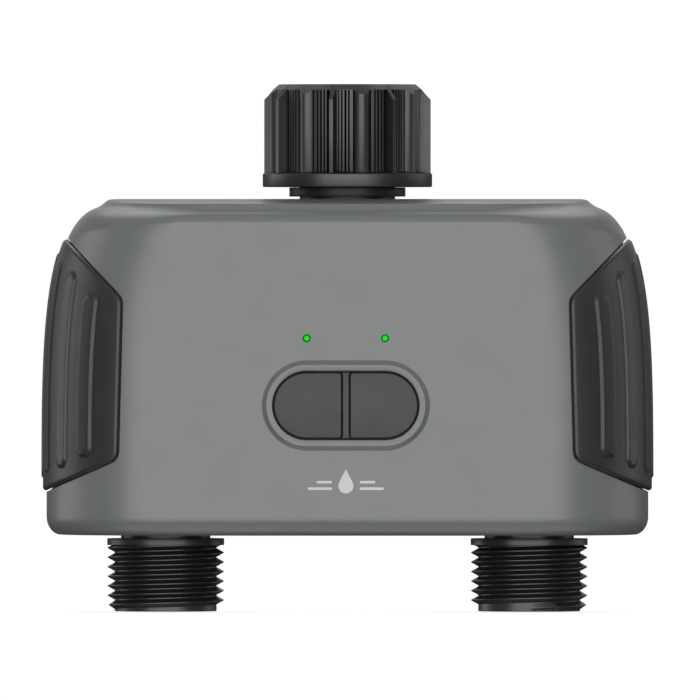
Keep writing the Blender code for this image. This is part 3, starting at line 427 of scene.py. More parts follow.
def cavity(name, side):
    """The space inside one half of the housing."""
    floor = BODY_BOTTOM + WALL
    rows = [(HALF_WIDTH, HALF_DEPTH, floor, floor)]
    for turn in (1, 18, 36, 54):
        width, height = sweep(turn)
        rows.append((width, HALF_DEPTH, height, height))
    rows.append((*CEILING, CEILING[2]))
    rings = [half_ring(row, side, 16, -WALL) for row in rows]
    return skin(name, [[(x, 0 if abs(y) < 1 else y, z) for x, y, z in ring] for ring in rings])


# ---- grips ----
GRIP_OUTLINE = rounded(GRIP_CORNERS, steps=10)
GRIP_SIDES = []                     # start and direction of each side of the outline
for (start_x, start_z), (end_x, end_z) in zip(GRIP_OUTLINE, GRIP_OUTLINE[1:]):
    side_length = hypot(end_x - start_x, end_z - start_z)
    GRIP_SIDES.append((start_x, start_z, (end_x - start_x) / side_length, (end_z - start_z) / side_length))
GRIP_SLANTS = [side for side in GRIP_SIDES if abs(side[3]) > 0.05]     # the sides that rise


def grip_distance(x, z):
    """Distance of an (x, z) point inside the grip's outline from its nearest side."""
    return min(run * (z - from_z) - rise * (x - from_x) for from_x, from_z, run, rise in GRIP_SIDES)


def grip_line(z, gap):
    """How far out the grip starts at a height, seen from the front."""
    return max(from_x + (run * (z - from_z) - gap) / rise for from_x, from_z, run, rise in GRIP_SLANTS)


def grip_reach(z, gap, grow):
    """Turn from the side, in radians, at which the grip's outline crosses a grown surface."""
    width = half_width_at(z)
    part = (grip_line(z, gap) - width + END_RADIUS) / (END_RADIUS + grow)
    return acos(min(part, 1))


def grip_span(gap, grow):
    """Lowest and highest height of the grip on a grown surface."""
    ends = []
    for inside, outside in GRIP_SEARCH:
        for _ in range(40):
            middle = (inside + outside) / 2
            if grip_reach(middle, gap, grow) > 0:
                inside = middle
            else:
                outside = middle
        ends.append(inside)
    return ends


def surface_point(sign, z, turn, grow):
    """A point on the housing's end, grown by grow, at a turn from the side."""
    flat = half_width_at(z) - END_RADIUS
    return (sign * (flat + (END_RADIUS + grow) * cos(turn)), (HALF_DEPTH + grow) * sin(turn), z)


def soft_step(t, corner=RIB_CORNER):
    """0 to 1 along a straight ramp with rounded corners."""
    t = min(max(t, -corner), 1 + corner)
    if t < corner:
        return (t + corner) ** 2 / (4 * corner)
    if t > 1 - corner:
        return 1 - (1 + corner - t) ** 2 / (4 * corner)
    return t


def rib_height(turn, z):
    """Height of the ribs above the grip's skin."""
    best = 0.0
    half = radians(RIB_HALF) * HALF_DEPTH
    for number in range(-3, 4):
        low, high = RIB_SPANS[abs(number)]
        across = (turn - radians(RIB_PITCH * number)) * HALF_DEPTH
        if abs(across) > 2 * half:
            continue
        beyond = max(low + half - z, z - high + half, 0)
        distance = half - hypot(across, beyond)
        best = max(best, RIB_HEIGHTS[abs(number)] * soft_step(distance / RIB_FLANK + 0.5))
    return best


def grip_lift(x, z, turn):
    """How far the grip's skin stands above the housing at a point."""
    depth = max(GRIP_EDGE - grip_distance(x, z) + GRIP_GAP, 0)
    drop = GRIP_EDGE - sqrt(max(GRIP_EDGE ** 2 - min(depth, GRIP_EDGE) ** 2, 0))
    return GRIP_PROUD - drop + rib_height(turn, z)


def flank_turns():
    """Turns from the side, in radians, of the columns that follow the ribs' edges."""
    half = radians(RIB_HALF)
    flank = RIB_FLANK / HALF_DEPTH
    turns = {0.0}
    for number in range(4):
        centre = radians(RIB_PITCH * number)
        for edge in (centre - half, centre + half):
            turns.update(edge + flank * share for share in RIB_COLUMNS)
        turns.update(centre + half * share for share in (-0.5, 0, 0.5))
        turns.update(centre + half + radians(RIB_PITCH - 2 * RIB_HALF) * step / 6 for step in range(1, 6))
    turns.update(radians(step) for step in range(58, 90, 2))
    return sorted(turn for turn in turns if turn >= 0)


def rib_levels(low, high):
    """Heights of the grip's rows: close together at its ends and at the ends of the ribs."""
    reach = radians(RIB_HALF) * HALF_DEPTH + 0.5
    levels = {low + (high - low) * step / 80 for step in range(81)}
    for step in range(10):
        levels.update((low + 0.012 * step ** 2, high - 0.012 * step ** 2))
    for foot, top in RIB_SPANS:
        levels.update(foot - 0.3 + reach * step / 14 for step in range(15))
        levels.update(top + 0.3 - reach * step / 14 for step in range(15))
    spaced = []
    for level in sorted(levels):
        if low <= level <= high and (not spaced or level - spaced[-1] > 0.01):
            spaced.append(level)
    return spaced


def grip_back(sign, z, gap, depth, shares):
    """Points across a grip's back at a height, kept inside its outline."""
    reach = grip_reach(z, gap, -depth)
    points = []
    for share in shares:
        x, y, _ = surface_point(sign, z, share * reach, -depth)
        points.append((sign * max(grip_line(z, gap), abs(x)), y, z))
    return points


def grip_skin(name, sign, rim_steps=9):
    """The side grip: ribbed skin outside, plain skin inside."""
    rim = GRIP_PROUD - GRIP_EDGE
    turns = flank_turns()
    shares = [column / 6 - 1 for column in range(12, -1, -1)]
    rings = []
    for z in rib_levels(*grip_span(GRIP_GAP, rim)):
        outer = grip_reach(z, GRIP_GAP, rim)
        margin = min(0.05, outer / 2)
        half_row = [min(turn, outer - margin) for turn in turns]
        half_row += [outer - margin * (1 - step / rim_steps) ** 2 for step in range(1, rim_steps + 1)]
        ring = []
        for turn in [-value for value in reversed(half_row)] + half_row[1:]:
            x = half_width_at(z) - END_RADIUS + END_RADIUS * cos(turn)
            ring.append(surface_point(sign, z, turn, grip_lift(x, z, turn)))
        rings.append(ring + grip_back(sign, z, GRIP_GAP, GRIP_INNER, shares))
    return skin(name, rings, crisp=50)


def grip_pocket(name, sign, columns=24, rows=90):
    """What the housings lose under a grip."""
    outside = 3.0
    low, high = grip_span(0, outside)
    shares = [2 * column / columns - 1 for column in range(columns + 1)]
    rings = []
    for row in range(rows + 1):
        along = 2 * row / rows - 1
        eased = 0.8 * along + 0.2 * sin(pi * along / 2)
        z = (low + high) / 2 + eased * (high - low) / 2
        outer = grip_reach(z, 0, outside)
        ring = [surface_point(sign, z, share * outer, outside) for share in shares]
        rings.append(ring + grip_back(sign, z, 0, POCKET_DEPTH, reversed(shares)))
    return skin(name, rings)


# ---- housings ----
def shared_cuts(tag):
    """Grip pockets and the neck and outlet holes that both housings share."""
    cuts = [grip_pocket(f"{side}_pocket_{tag}", sign) for side, sign in SIDES.items()]
    cuts.append(plug("neck_hole_" + tag, NECK_RADIUS + 0.35, (0, 0, 0), 86, 98, "Z", 96))
    for side, sign in SIDES.items():
        centre = (sign * OUTLET_X, 0, 0)
        cuts.append(plug(f"{side}_outlet_hole_{tag}", OUTLET_NECK + 0.25, centre, 12, 24, "Z", 96))
    return cuts


def front_housing():
    """Front shell with the raised pad round the keypad."""
    front = half_body("front_shell", -1)
    inside, outside, lip = -26, -36, 0.15
    cuts = [cavity("front_cavity", -1), *shared_cuts("front")]
    cuts.append(slab("keypad_hole", pill(*OPENING_SIZE), inside, outside))
    for side, sign in SIDES.items():
        cuts.append(plug(side + "_led_hole", LED_HOLE, (sign * LED_X, 0, LED_HEIGHT), outside, inside))
    combine(front, "DIFFERENCE", *cuts)
    outer, mouth = pill(*PAD_SIZE), pill(*OPENING_SIZE)
    sunk = -HALF_DEPTH + 0.2
    levels = (
        (outer, sunk), (outer, -HALF_DEPTH), (inset(outer, PAD_CHAMFER), PAD_FRONT),
        (inset(mouth, -lip), PAD_FRONT), (inset(mouth, -lip * 0.3), PAD_FRONT + lip * 0.3),
        (mouth, PAD_FRONT + lip), (mouth, sunk),
    )
    pad = skin("keypad_pad", [[(x, y, z) for x, z in outline] for outline, y in levels], "joined", crisp=28)
    return merge(front, pad)


def rear_housing():
    """Rear shell with the framed battery opening."""
    rear = half_body("rear_shell", 1)
    door_back = node_box("battery_door")[0][1]
    combine(rear, "DIFFERENCE", cavity("rear_cavity", 1), *shared_cuts("rear"))
    combine(rear, "UNION", slab("door_ledge", rounded_rectangle((-36, 21.2), (36, 90), 3), 25.9, 29.6))
    cuts = [
        slab("door_recess", node_outline("battery_door", 4.3, DOOR_GAP), door_back - DOOR_GAP, CUT_OUT),
        slab("door_opening", rounded_rectangle((-29.9, 25.1), (29.9, 78.4), 2), 20, CUT_OUT),
    ]
    for side in SIDES:
        x, _, z = node_centre(side + "_door_screw")
        cuts.append(plug(side + "_screw_hole", SCREW_WAY, (x, 0, z), 20, 30))
    return combine(rear, "DIFFERENCE", *cuts)


# ---- keypad ----
def bezel():
    """Frame behind the front wall with the flared bar between the buttons."""
    surround = slab("bezel_frame", node_outline("keypad_bezel", 2), -26.7, -27.9)
    width, height = (size - 0.2 for size in OPENING_SIZE)
    for side, sign in SIDES.items():
        hole = half_pill(sign, width, height, BAR_HALF + 0.1, 0.4)
        combine(surround, "DIFFERENCE", slab(side + "_bezel_hole", hole, -25, -30))
    half = OPENING_SIZE[1] / 2 - BUTTON_GAP
    flared, straight = BAR_HALF + 0.33, half - 0.5
    points = ((-flared, -half), (flared, -half), (BAR_HALF, -straight), (BAR_HALF, straight),
              (flared, half), (-flared, half), (-BAR_HALF, straight), (-BAR_HALF, -straight))
    front = node_box("keypad_bezel")[0][1]
    bar = slab("bezel_bar", [(x, KEYPAD_HEIGHT + z) for x, z in points], -26.8, front, 0.12, 3)
    return merge(surround, bar)


def button(side):
    """D-shaped button with a rounded rim and the flange that holds it."""
    sign = SIDES[side]
    front = node_box(side + "_button")[0][1]
    width, height = (size - 2 * BUTTON_GAP for size in OPENING_SIZE)
    face = half_pill(sign, width, height, BAR_HALF + 0.34, BUTTON_CORNER)
    flange = half_pill(sign, width + 3.2, height + 3.2, 0.3, 0.4)
    return merge(slab(side + "_button_cap", face, -26.0, front, 0.22),
                 slab(side + "_button_flange", flange, -25.6, -26.4))


def light_pipe(side):
    """Clear rod that fills its hole, with a low domed lens inside a sloping rim."""
    steps = ((0, 0), (0.9, 0), (0.9, 3.6), (1.7, 3.6), (1.7, 4.6), (0.92, 4.6), (0.92, 7.35))
    lens = [(LENS_RADIUS * x, 7.7 + 0.14 * y) for x, y in arc(1, 0, 90, 6)]
    profile = [(radius, -along) for radius, along in (*steps, *lens)]
    centre = (SIDES[side] * LED_X, -23.3, LED_HEIGHT)
    return turned(side + "_light_rod", profile, centre, "Y", closed=False, segments=40)


# ---- inlet ----
def nut_sector():
    """Radii of one of the nut's sectors: (degrees from a fin's centre, radius)."""
    flank = [(1.3, NUT_FIN), (1.45, NUT_FIN - 0.2), (1.8, NUT_VALLEY + 0.4), (2.2, NUT_VALLEY),
             (3.5, NUT_VALLEY)]
    before = 3.9
    for low, high in NUT_RIDGES:
        flank += [((before + low) / 2, NUT_GROOVE), (low - 0.08, NUT_RIDGE - 0.12), (low + 0.05, NUT_RIDGE),
                  (high - 0.05, NUT_RIDGE), (high + 0.08, NUT_RIDGE - 0.12)]
        before = high
    low, high = NUT_WIDE_SPAN
    flank.append(((before + low) / 2, NUT_GROOVE))
    wide = []
    for share in (step / 14 for step in range(15)):
        bulge = (NUT_WIDE - NUT_RIDGE) * sin(pi * share) ** 0.8
        wide.append((low + (high - low) * share, NUT_RIDGE + bulge))
    return flank + wide + [(360 / NUT_SECTORS - degree, radius) for degree, radius in reversed(flank)]


def inner_thread(angle):
    """Crests and roots of the nut's inside thread at an angle, bottom to top."""
    crest_radius, root_radius = NUT_THREAD
    bottom, top = NUT_THREAD_SPAN
    points = []
    for turn in range(6, -1, -1):
        crest = NUT_THREAD_FIRST + THREAD_PITCH * (angle / (2 * pi) - turn)
        root = crest - THREAD_PITCH / 2
        for height, radius in ((root - 0.2, root_radius), (root + 0.2, root_radius),
                               (crest - 0.25, crest_radius), (crest + 0.25, crest_radius)):
            fade = min(max(min(top - height, height - bottom) / 0.5, 0), 1)
            points.append((root_radius + (radius - root_radius) * fade, min(max(height, bottom), top)))
    return points


def inlet_nut():
    """Swivel nut with eight fins, fine flutes between them and a thread inside."""
    slope = (NUT_TOP - NUT_CHAMFER_START) / (NUT_FIN - NUT_RIM)
    root = NUT_THREAD[1]
    rings = []
    for sector in range(NUT_SECTORS):
        for offset, radius in nut_sector():
            angle = radians(NUT_FIN_ANGLE + 360 / NUT_SECTORS * sector + offset)
            brow = max(radius, NUT_RIDGE)
            shoulder = NUT_CHAMFER_START + (NUT_FIN - brow) * slope
            foot = NUT_FLANGE_TOP + (NUT_FLUTE_BOTTOM - NUT_FLANGE_TOP) * (NUT_FLANGE - radius) / 2.8
            outside = [
                (13.9, NUT_TOP), (NUT_RIM - 0.25, NUT_TOP), (NUT_RIM, NUT_TOP - 0.2), (brow, shoulder),
                (brow, shoulder - 0.08), (radius, shoulder - 0.3),
                (radius, foot + 0.25), (radius + 0.12, foot), (NUT_FLANGE - 0.2, NUT_FLANGE_TOP),
                (NUT_FLANGE, NUT_FLANGE_TOP - 0.2), (NUT_FLANGE, NUT_BOTTOM + 0.35),
                (NUT_FLANGE - 0.1, NUT_BOTTOM + 0.1), (NUT_FLANGE - 0.35, NUT_BOTTOM),
                (NECK_RADIUS + 0.5, NUT_BOTTOM), (NECK_RADIUS + 0.3, NUT_BOTTOM + 0.2),
                (NECK_RADIUS + 0.3, NUT_BOTTOM + 3), (root, NUT_BOTTOM + 3), (root, 110.2),
            ]
            profile = outside + inner_thread(angle) + [(root, NUT_TOP - 0.8)]
            rings.append([(r * sin(angle), -r * cos(angle), z) for r, z in profile])
    return skin("swivel_nut", rings, "joined", crisp=30)


def inlet_neck():
    """Spigot that the nut turns on, with its clip and seal grooves."""
    profile = rounded((
        (7.0, 104.5, 0.3), (12.3, 104.5, 0.4), (12.3, 102.05, 0.3), (NECK_RADIUS, 102.05, 0),
        (NECK_RADIUS, 92.1, 0.1), (9.4, 92.1, 0), (9.4, 90.0, 0), (NECK_RADIUS, 90.0, 0.1),
        (NECK_RADIUS, 89.8, 0), (8.7, 89.8, 0), (8.7, 87.3, 0), (7.0, 87.3, 0),
        (7.0, 85.1, 0), (8.7, 85.1, 0), (8.7, 83.0, 0.4), (6.0, 83.0, 0.3),
        (6.0, 93.0, 0), (7.0, 94.2, 0),
    ), steps=4)
    return turned("neck_spigot", profile)


def ring(name, node, inner, top, edges, steps):
    """A ring from an inner radius to a node's side, up to top, its four corners rounded by edges."""
    low, high = node_box(node)
    spots = ((inner, low[2]), (high[0], low[2]), (high[0], top), (inner, top))
    corners = [(*spot, edge) for spot, edge in zip(spots, edges)]
    return turned(name, rounded(corners, steps=steps), segments=128)


def collar():
    """Thrust collar between the nut and the housing."""
    return ring("nut_collar", "swivel_collar", 11.4, NUT_BOTTOM - 0.06, (0.1, 0.15, 0.12, 0.1), 3)


def tap_washer():
    """Flat washer that seals the nut on the tap."""
    return ring("tap_washer", "inlet_washer", 7.6, node_box("inlet_washer")[1][2], (0.25,) * 4, 4)


def filter_basket(posts=4):
    """Strainer cup: a rim, a floor and the posts that stiffen its woven wall."""
    low, high = node_box("inlet_filter")
    base, top = low[2], high[2]
    corners = ((6.4, top - 0.8, 0), (11.6, top - 0.8, 0.2), (11.6, top, 0.2), (6.0, top, 0.2))
    rim = turned("strainer_rim", rounded(corners, steps=3))
    parts = [plug("strainer_foot", 6.2, (0, 0, 0), base, base + 0.7, "Z", 96)]
    for number in range(posts):
        angle = radians(45) + 2 * pi * number / posts
        spot = (6.1 * cos(angle), 6.1 * sin(angle), 0)
        parts.append(plug(f"strainer_post_{number}", 0.45, spot, base, top - 0.3, "Z", 12))
    return merge(rim, *parts)


def filter_mesh(columns=48, rows=20):
    """The strainer's woven wall as fine crossing wires."""
    low, high = node_box("inlet_filter")
    base, top = low[2], high[2]
    wires = []
    for number in range(columns):
        angle = 2 * pi * number / columns
        spot = (STRAINER_WALL * cos(angle), STRAINER_WALL * sin(angle), 0)
        wires.append(plug(f"warp_{number}", WIRE_RADIUS, spot, base + 0.3, top - 0.4, "Z", 5))
    for number in range(rows):
        z = base + 0.6 + (top - base - 1.2) * number / (rows - 1)
        section = arc(WIRE_RADIUS, 0, 288, 4, (STRAINER_WALL, z))
        wires.append(turned(f"weft_{number}", section, segments=columns))
    return merge(*wires)


# ---- outlets ----
def radius_at(points, level):
    """Radius of a falling line of (radius, height) points at a level."""
    for (upper, high), (lower, low) in zip(points, points[1:]):
        if high >= level >= low:
            return lower + (upper - lower) * (level - low) / (high - low)
    return THREAD_ROOT


def thread_points(angle):
    """Crests and roots of the hose thread down one side, as (radius, height) points."""
    points = []
    for turn in range(THREAD_TURNS, -3, -1):
        wound = angle + 2 * pi * turn
        crest = THREAD_FIRST + THREAD_PITCH * wound / (2 * pi)
        grown = min(max((wound - THREAD_START) / THREAD_GROWTH, 0), 1) ** 0.5
        outer = THREAD_ROOT + (THREAD_CREST - THREAD_ROOT) * grown
        points += [(outer, crest + THREAD_FLAT), (outer, crest - THREAD_FLAT)]
        root = crest - THREAD_PITCH / 2
        points += [(THREAD_ROOT, root + THREAD_FLAT), (THREAD_ROOT, root - THREAD_FLAT)]
    top = (radius_at(points, THREAD_TOP), THREAD_TOP)
    bottom = (radius_at(points, THREAD_BOTTOM), THREAD_BOTTOM)
    return [top if height > THREAD_TOP else bottom if height < THREAD_BOTTOM else (radius, height)
            for radius, height in points]


def outlet(side, columns=120):
    """Outlet spout with its hose thread; the left one is the right one given half a turn."""
    sign = SIDES[side]
    bore, neck, flange = OUTLET_BORE, OUTLET_NECK, 13.6
    above = rounded((
        (bore, 34.5, 0.3), (neck, 34.5, 0.5), (neck, 31.2, 0), (8.4, 31.2, 0), (8.4, 29.0, 0),
        (neck, 29.0, 0), (neck, 22.9, 0), (13.0, 22.9, 0.3), (13.0, 20.95, 0.3), (10.4, 20.95, 0),
        (10.4, FLANGE_TOP, 0), (flange, FLANGE_TOP, 0.1), (flange, THREAD_TOP, 0.06), (12.3, THREAD_TOP, 0),
    ), closed=False, steps=3)
    below = rounded(((THREAD_ROOT, 0.28, 0), (THREAD_ROOT, 0, 0.14), (bore, 0, 0.4), (bore, 2, 0)),
                    closed=False, steps=3)
    rings = []
    for column in range(columns + 1):
        angle = 2 * pi * column / columns
        across, along = sign * cos(angle), sign * sin(angle)
        profile = above + thread_points(angle) + below
        rings.append([(sign * OUTLET_X + radius * across, radius * along, z) for radius, z in profile])
    return skin(side + "_spout", rings, "open", crisp=40)


# ---- battery side ----
def battery_door():
    """Door with a sunk panel, a ribbed thumb pad and seats for its screws."""
    low, high = node_box("battery_door")
    floor = high[1] - 0.45
    door = slab("door_panel", node_outline("battery_door", 4), low[1], high[1], 1.0, 6)
    panel = rounded_rectangle((low[0] + 4, low[2] + 4.5), (high[0] - 4, high[2] - 14), 2.5)
    cuts = [slab("door_panel_recess", inset(panel, 0.4), floor, high[1] + 1)]
    for side in SIDES:
        x, _, z = node_centre(side + "_door_screw")
        cuts.append(plug(side + "_seat", 4.2, (x, 0, z), 29.9, 34))
        cuts.append(plug(side + "_way", SCREW_WAY, (x, 0, z), 27, 31))
    combine(door, "DIFFERENCE", *cuts)
    ribs = []
    for number in range(5):
        z = low[2] + 9 + 2.4 * number
        bar = rounded_rectangle((-11, z - 0.55), (11, z + 0.55), 0.5, 4)
        ribs.append(slab(f"door_rib_{number}", bar, floor - 0.2, high[1] - 0.05, 0.3, 3))
    return merge(door, *ribs)


def door_screw(side):
    """Coin-slotted captive screw."""
    node = side + "_door_screw"
    tip, top = (corner[1] for corner in node_box(node))
    x, _, z = node_centre(node)
    shank, head, seat = 1.5, 3.8, 30.2
    profile = rounded(((0, tip, 0), (1.1, tip, 0), (shank, tip + 0.5, 0), (shank, seat, 0),
                       (head, seat, 0.15), (head, top, 0.35), (0, top, 0)), closed=False, steps=4)
    screw = turned(side + "_coin_screw", profile, (x, 0, z), "Y", closed=False, segments=72)
    slot = [(x - 6, z - 0.7), (x + 6, z - 0.7), (x + 6, z + 0.7), (x - 6, z + 0.7)]
    return combine(screw, "DIFFERENCE", slab(side + "_coin_slot", slot, top - 1.0, top + 1))


def battery_cell(number):
    """Smooth cell with rounded shoulders and a raised pole; every other one stands on its head."""
    node = f"battery_cell_{number}"
    low, high = node_box(node)
    x, y, _ = node_centre(node)
    radius = (high[0] - low[0]) / 2
    length = high[2] - low[2]
    profile = rounded(((0, 0, 0), (radius, 0, 0.5), (radius, length - 1.2, 0.5), (2.6, length - 1.2, 0),
                       (2.6, length, 0.4), (0, length, 0)), closed=False, steps=5)
    if number % 2 == 0:
        profile = [(r, length - z) for r, z in reversed(profile)]
    return turned(f"cell_can_{number}", profile, (x, y, low[2]), closed=False, segments=64)


# ---- mark ----
def mark():
    """A plain printed sign below the keypad: a water drop between two pairs of bars."""
    back, front = -HALF_DEPTH + 0.02, -HALF_DEPTH - 0.03
    height = 30.3
    drop = [(0, height + 3.0), *arc(1.75, 150, 390, 28, (0, height - 0.9))]
    shapes = [slab("drop_sign", drop, back, front)]
    start = 3.2
    for sign in SIDES.values():
        for number, length in enumerate((5.6, 3.6)):
            z = height - 1.55 + 1.5 * number
            low, high = sorted((sign * start, sign * (start + length)))
            bar = rounded_rectangle((low, z - 0.3), (high, z + 0.3), 0.28, 4)
            shapes.append(slab(f"bar_{sign}_{number}", bar, back, front))
    return merge(*shapes)


# ---- materials ----
def feed(tree, node, **values):
    """Gives a node its inputs by name: sockets are linked, other values are set."""
    for name, value in values.items():
        socket = node.inputs[name.replace("_", " ")]
        if isinstance(value, bpy.types.NodeSocket):
            tree.links.new(value, socket)
        else:
            socket.default_value = value
    return node


def add(tree, kind, **values):
    """A new shader node with its inputs given."""
    return feed(tree, tree.nodes.new("ShaderNode" + kind), **values)


def shader_nodes(name):
    """A new material with its Principled shader and object coordinates."""
    made = bpy.data.materials.new(name)
    made.use_nodes = True
    tree = made.node_tree
    return made, tree, tree.nodes["Principled BSDF"], add(tree, "TexCoord").outputs["Object"]


def noise(tree, spot, scale, detail=2.0, roughness=0.5):
    """A noise texture's value; scale is in features a metre."""
    return add(tree, "TexNoise", Vector=spot, Scale=scale, Detail=detail, Roughness=roughness).outputs["Fac"]


def spread(tree, value, low, high):
    """Maps a noise value to a range."""
    made = add(tree, "MapRange", Value=value, From_Min=0.25, From_Max=0.75, To_Min=low, To_Max=high)
    return made.outputs["Result"]


def patches(tree, spot, scale, detail, low, high):
    """A range of values spread over a surface by noise."""
    return spread(tree, noise(tree, spot, scale, detail), low, high)


def blend_colors(tree, share, first, second):
    """A mix of two colours by a value."""
    made = tree.nodes.new("ShaderNodeMix")
    made.data_type = "RGBA"
    return feed(tree, made, Factor=share, A=(*first, 1), B=(*second, 1)).outputs["Result"]


def color_ramp(tree, value, stops, interpolation="LINEAR"):
    """The colour at a value between (position, colour) stops."""
    made = add(tree, "ValToRGB", Fac=value)
    made.color_ramp.interpolation = interpolation
    elements = made.color_ramp.elements
    while len(elements) < len(stops):
        elements.new(0.5)
    for element, (position, color) in zip(elements, stops):
        element.position = position
        element.color = (*color, 1)
    return made.outputs["Color"]


def bump(tree, shader, height, depth):
    """Raises the surface by a height value, depth in millimetres."""
    feed(tree, shader, Normal=add(tree, "Bump", Height=height, Distance=depth * MM).outputs["Normal"])


def plastic(name, color, roughness, grain=0.004, pitch=2600, specular=0.5, drift=0.05):
    """Moulded plastic: fine spark-eroded grain, slow colour drift and handled patches."""
    made, tree, shader, spot = shader_nodes(name)
    darker, lighter = (tuple(value * (1 + sign * drift) for value in color) for sign in (-1, 1))
    handled = noise(tree, spot, 150, 4, 0.6)
    feed(tree, shader, Base_Color=blend_colors(tree, patches(tree, spot, 38, 3, 0, 1), darker, lighter),
         Roughness=spread(tree, handled, roughness - 0.03, roughness + 0.04), Specular_IOR_Level=specular)
    bump(tree, shader, noise(tree, spot, pitch, 2, 0.6), grain)
    return made


def metal(name, color, roughness, stretch=(1, 1, 1), grain=0.002):
    """Drawn or plated metal with fine lines along the stretched direction."""
    made, tree, shader, spot = shader_nodes(name)
    lines = noise(tree, add(tree, "Mapping", Vector=spot, Scale=stretch).outputs["Vector"], 1500, 3)
    dull = tuple(value * 0.82 for value in color)
    feed(tree, shader, Base_Color=blend_colors(tree, patches(tree, spot, 120, 4, 0, 1), dull, color),
         Roughness=spread(tree, lines, roughness - 0.06, roughness + 0.1), Metallic=1.0)
    bump(tree, shader, lines, grain)
    return made


def lamp_green(name, strength):
    """Clear green plastic lit from behind, darker towards its rim."""
    made, tree, shader, spot = shader_nodes(name)
    normal = add(tree, "NewGeometry").outputs["Normal"]
    backward = add(tree, "SeparateXYZ", Vector=normal).outputs["Y"]
    lens = add(tree, "MapRange", Value=backward, From_Min=-0.68, From_Max=-0.82).outputs["Result"]
    feed(tree, shader, Base_Color=(0.002, 0.04, 0.003, 1), Specular_IOR_Level=0.12,
         Roughness=patches(tree, spot, 900, 2, 0.2, 0.3), Emission_Strength=strength,
         Emission_Color=blend_colors(tree, lens, (0.0, 0.09, 0.0), (0.006, 0.66, 0.009)))
    bump(tree, shader, noise(tree, spot, 1800, 1), 0.002)
    return made


def circuit_board(name):
    """Green solder mask over fine copper traces."""
    made, tree, shader, spot = shader_nodes(name)
    upright = add(tree, "Mapping", Vector=spot, Rotation=(pi / 2, 0, 0)).outputs["Vector"]
    traces = add(tree, "TexBrick", Vector=upright, Scale=260, Mortar_Size=0.03).outputs["Fac"]
    feed(tree, shader, Base_Color=blend_colors(tree, traces, (0.010, 0.09, 0.035), (0.03, 0.2, 0.07)),
         Roughness=patches(tree, spot, 300, 3, 0.3, 0.42))
    bump(tree, shader, traces, 0.03)
    return made


def wound_wire(name):
    """Lacquered copper wire laid in turns along Y."""
    made, tree, shader, spot = shader_nodes(name)
    wave = add(tree, "TexWave", Vector=spot, Scale=900, Distortion=0.6)
    wave.bands_direction = "Y"
    turns = wave.outputs["Fac"]
    feed(tree, shader, Base_Color=blend_colors(tree, turns, (0.12, 0.035, 0.01), (0.55, 0.2, 0.06)),
         Roughness=patches(tree, spot, 400, 3, 0.28, 0.4), Metallic=0.8)
    bump(tree, shader, turns, 0.15)
    return made


def cell_wrap(name):
    """Battery sleeve in two tones with bare metal ends."""
    made, tree, shader, spot = shader_nodes(name)
    low, high = node_box("battery_cell_1")
    height = add(tree, "SeparateXYZ", Vector=spot).outputs["Z"]
    level = add(tree, "MapRange", Value=height, From_Min=low[2] * MM, From_Max=high[2] * MM)
    bare, dark, copper = (0.6, 0.6, 0.58), (0.03, 0.033, 0.036), (0.42, 0.24, 0.10)
    stops = ((0, bare), (0.03, dark), (0.3, copper), (0.7, dark), (0.97, bare))
    feed(tree, shader, Base_Color=color_ramp(tree, level.outputs["Result"], stops, "CONSTANT"),
         Roughness=patches(tree, spot, 500, 3, 0.22, 0.34), Metallic=0.6)
    bump(tree, shader, noise(tree, spot, 700, 2), 0.0008)
    return made


def paint(obj, finish):
    """Gives an object one material in every slot."""
    if not obj.material_slots:
        obj.data.materials.append(finish)
    for slot in obj.material_slots:
        slot.material = finish


# ---- finishes ----
HOUSING = plastic("moulded_grey", (0.105, 0.114, 0.111), 0.36, grain=0.002, drift=0.02)
KEYCAP = plastic("key_grey", (0.018, 0.018, 0.018), 0.40, grain=0.002, specular=0.33, drift=0.03)
RUBBER = plastic("grip_rubber", (0.014, 0.014, 0.014), 0.39, grain=0.003, pitch=1900, specular=0.42)
FITTING = plastic("fitting_black_nylon", (0.010, 0.010, 0.010), 0.34, grain=0.002, pitch=1700)
SEAL = plastic("seal_epdm", (0.012, 0.012, 0.013), 0.6, grain=0.008, pitch=1200)
INNER = plastic("inner_nylon", (0.05, 0.05, 0.054), 0.45, grain=0.01, pitch=900)
CHIP = plastic("component_resin", (0.018, 0.018, 0.02), 0.5, grain=0.006)
CABLE = plastic("wire_sleeve", (0.2, 0.012, 0.01), 0.38, grain=0.004)
INK = plastic("printed_sign", (0.42, 0.42, 0.42), 0.45, grain=0.001)
COLLAR = plastic("collar_acetal", (0.010, 0.010, 0.010), 0.40, grain=0.002, pitch=1700, specular=0.28)
STEEL = metal("drawn_stainless", (0.62, 0.62, 0.6), 0.28, (1, 12, 1))
NICKEL = metal("nickel_plate", (0.7, 0.68, 0.62), 0.25)
WIRE_MESH = metal("woven_stainless", (0.55, 0.55, 0.53), 0.32)
LAMP = lamp_green("lamp_green", 0.90)
BOARD = circuit_board("solder_mask")
WINDING = wound_wire("copper_winding")
CELL = cell_wrap("cell_sleeve_print")

SLOT_FINISH = {
    "housing_grey": HOUSING, "grip_black": RUBBER, "button_grey": KEYCAP, "indicator_green": LAMP,
    "fitting_black": FITTING, "seal_rubber": SEAL, "filter_mesh": WIRE_MESH, "stainless_steel": STEEL,
    "nickel_contact": NICKEL, "inner_plastic": INNER, "coil_winding": WINDING, "cell_sleeve": CELL,
    "circuit_board": BOARD, "component_black": CHIP, "wire_insulation": CABLE,
}
NODE_SLOT = {entry["node"]: entry["material_slot"] for entry in frame["record"]["subparts"]}
for node_name, node_object in frame["nodes"].items():
    paint(node_object, SLOT_FINISH[NODE_SLOT[node_name]])


# ---- making the pieces ----
def place(made, body, *nodes, finish=None):
    """A finished piece rides on a body, stands for its nodes and takes their finish."""
    slot_name = NODE_SLOT[nodes[0]]
    paint(made, finish or SLOT_FINISH[slot_name])
    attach(made, body)
    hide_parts(*nodes)


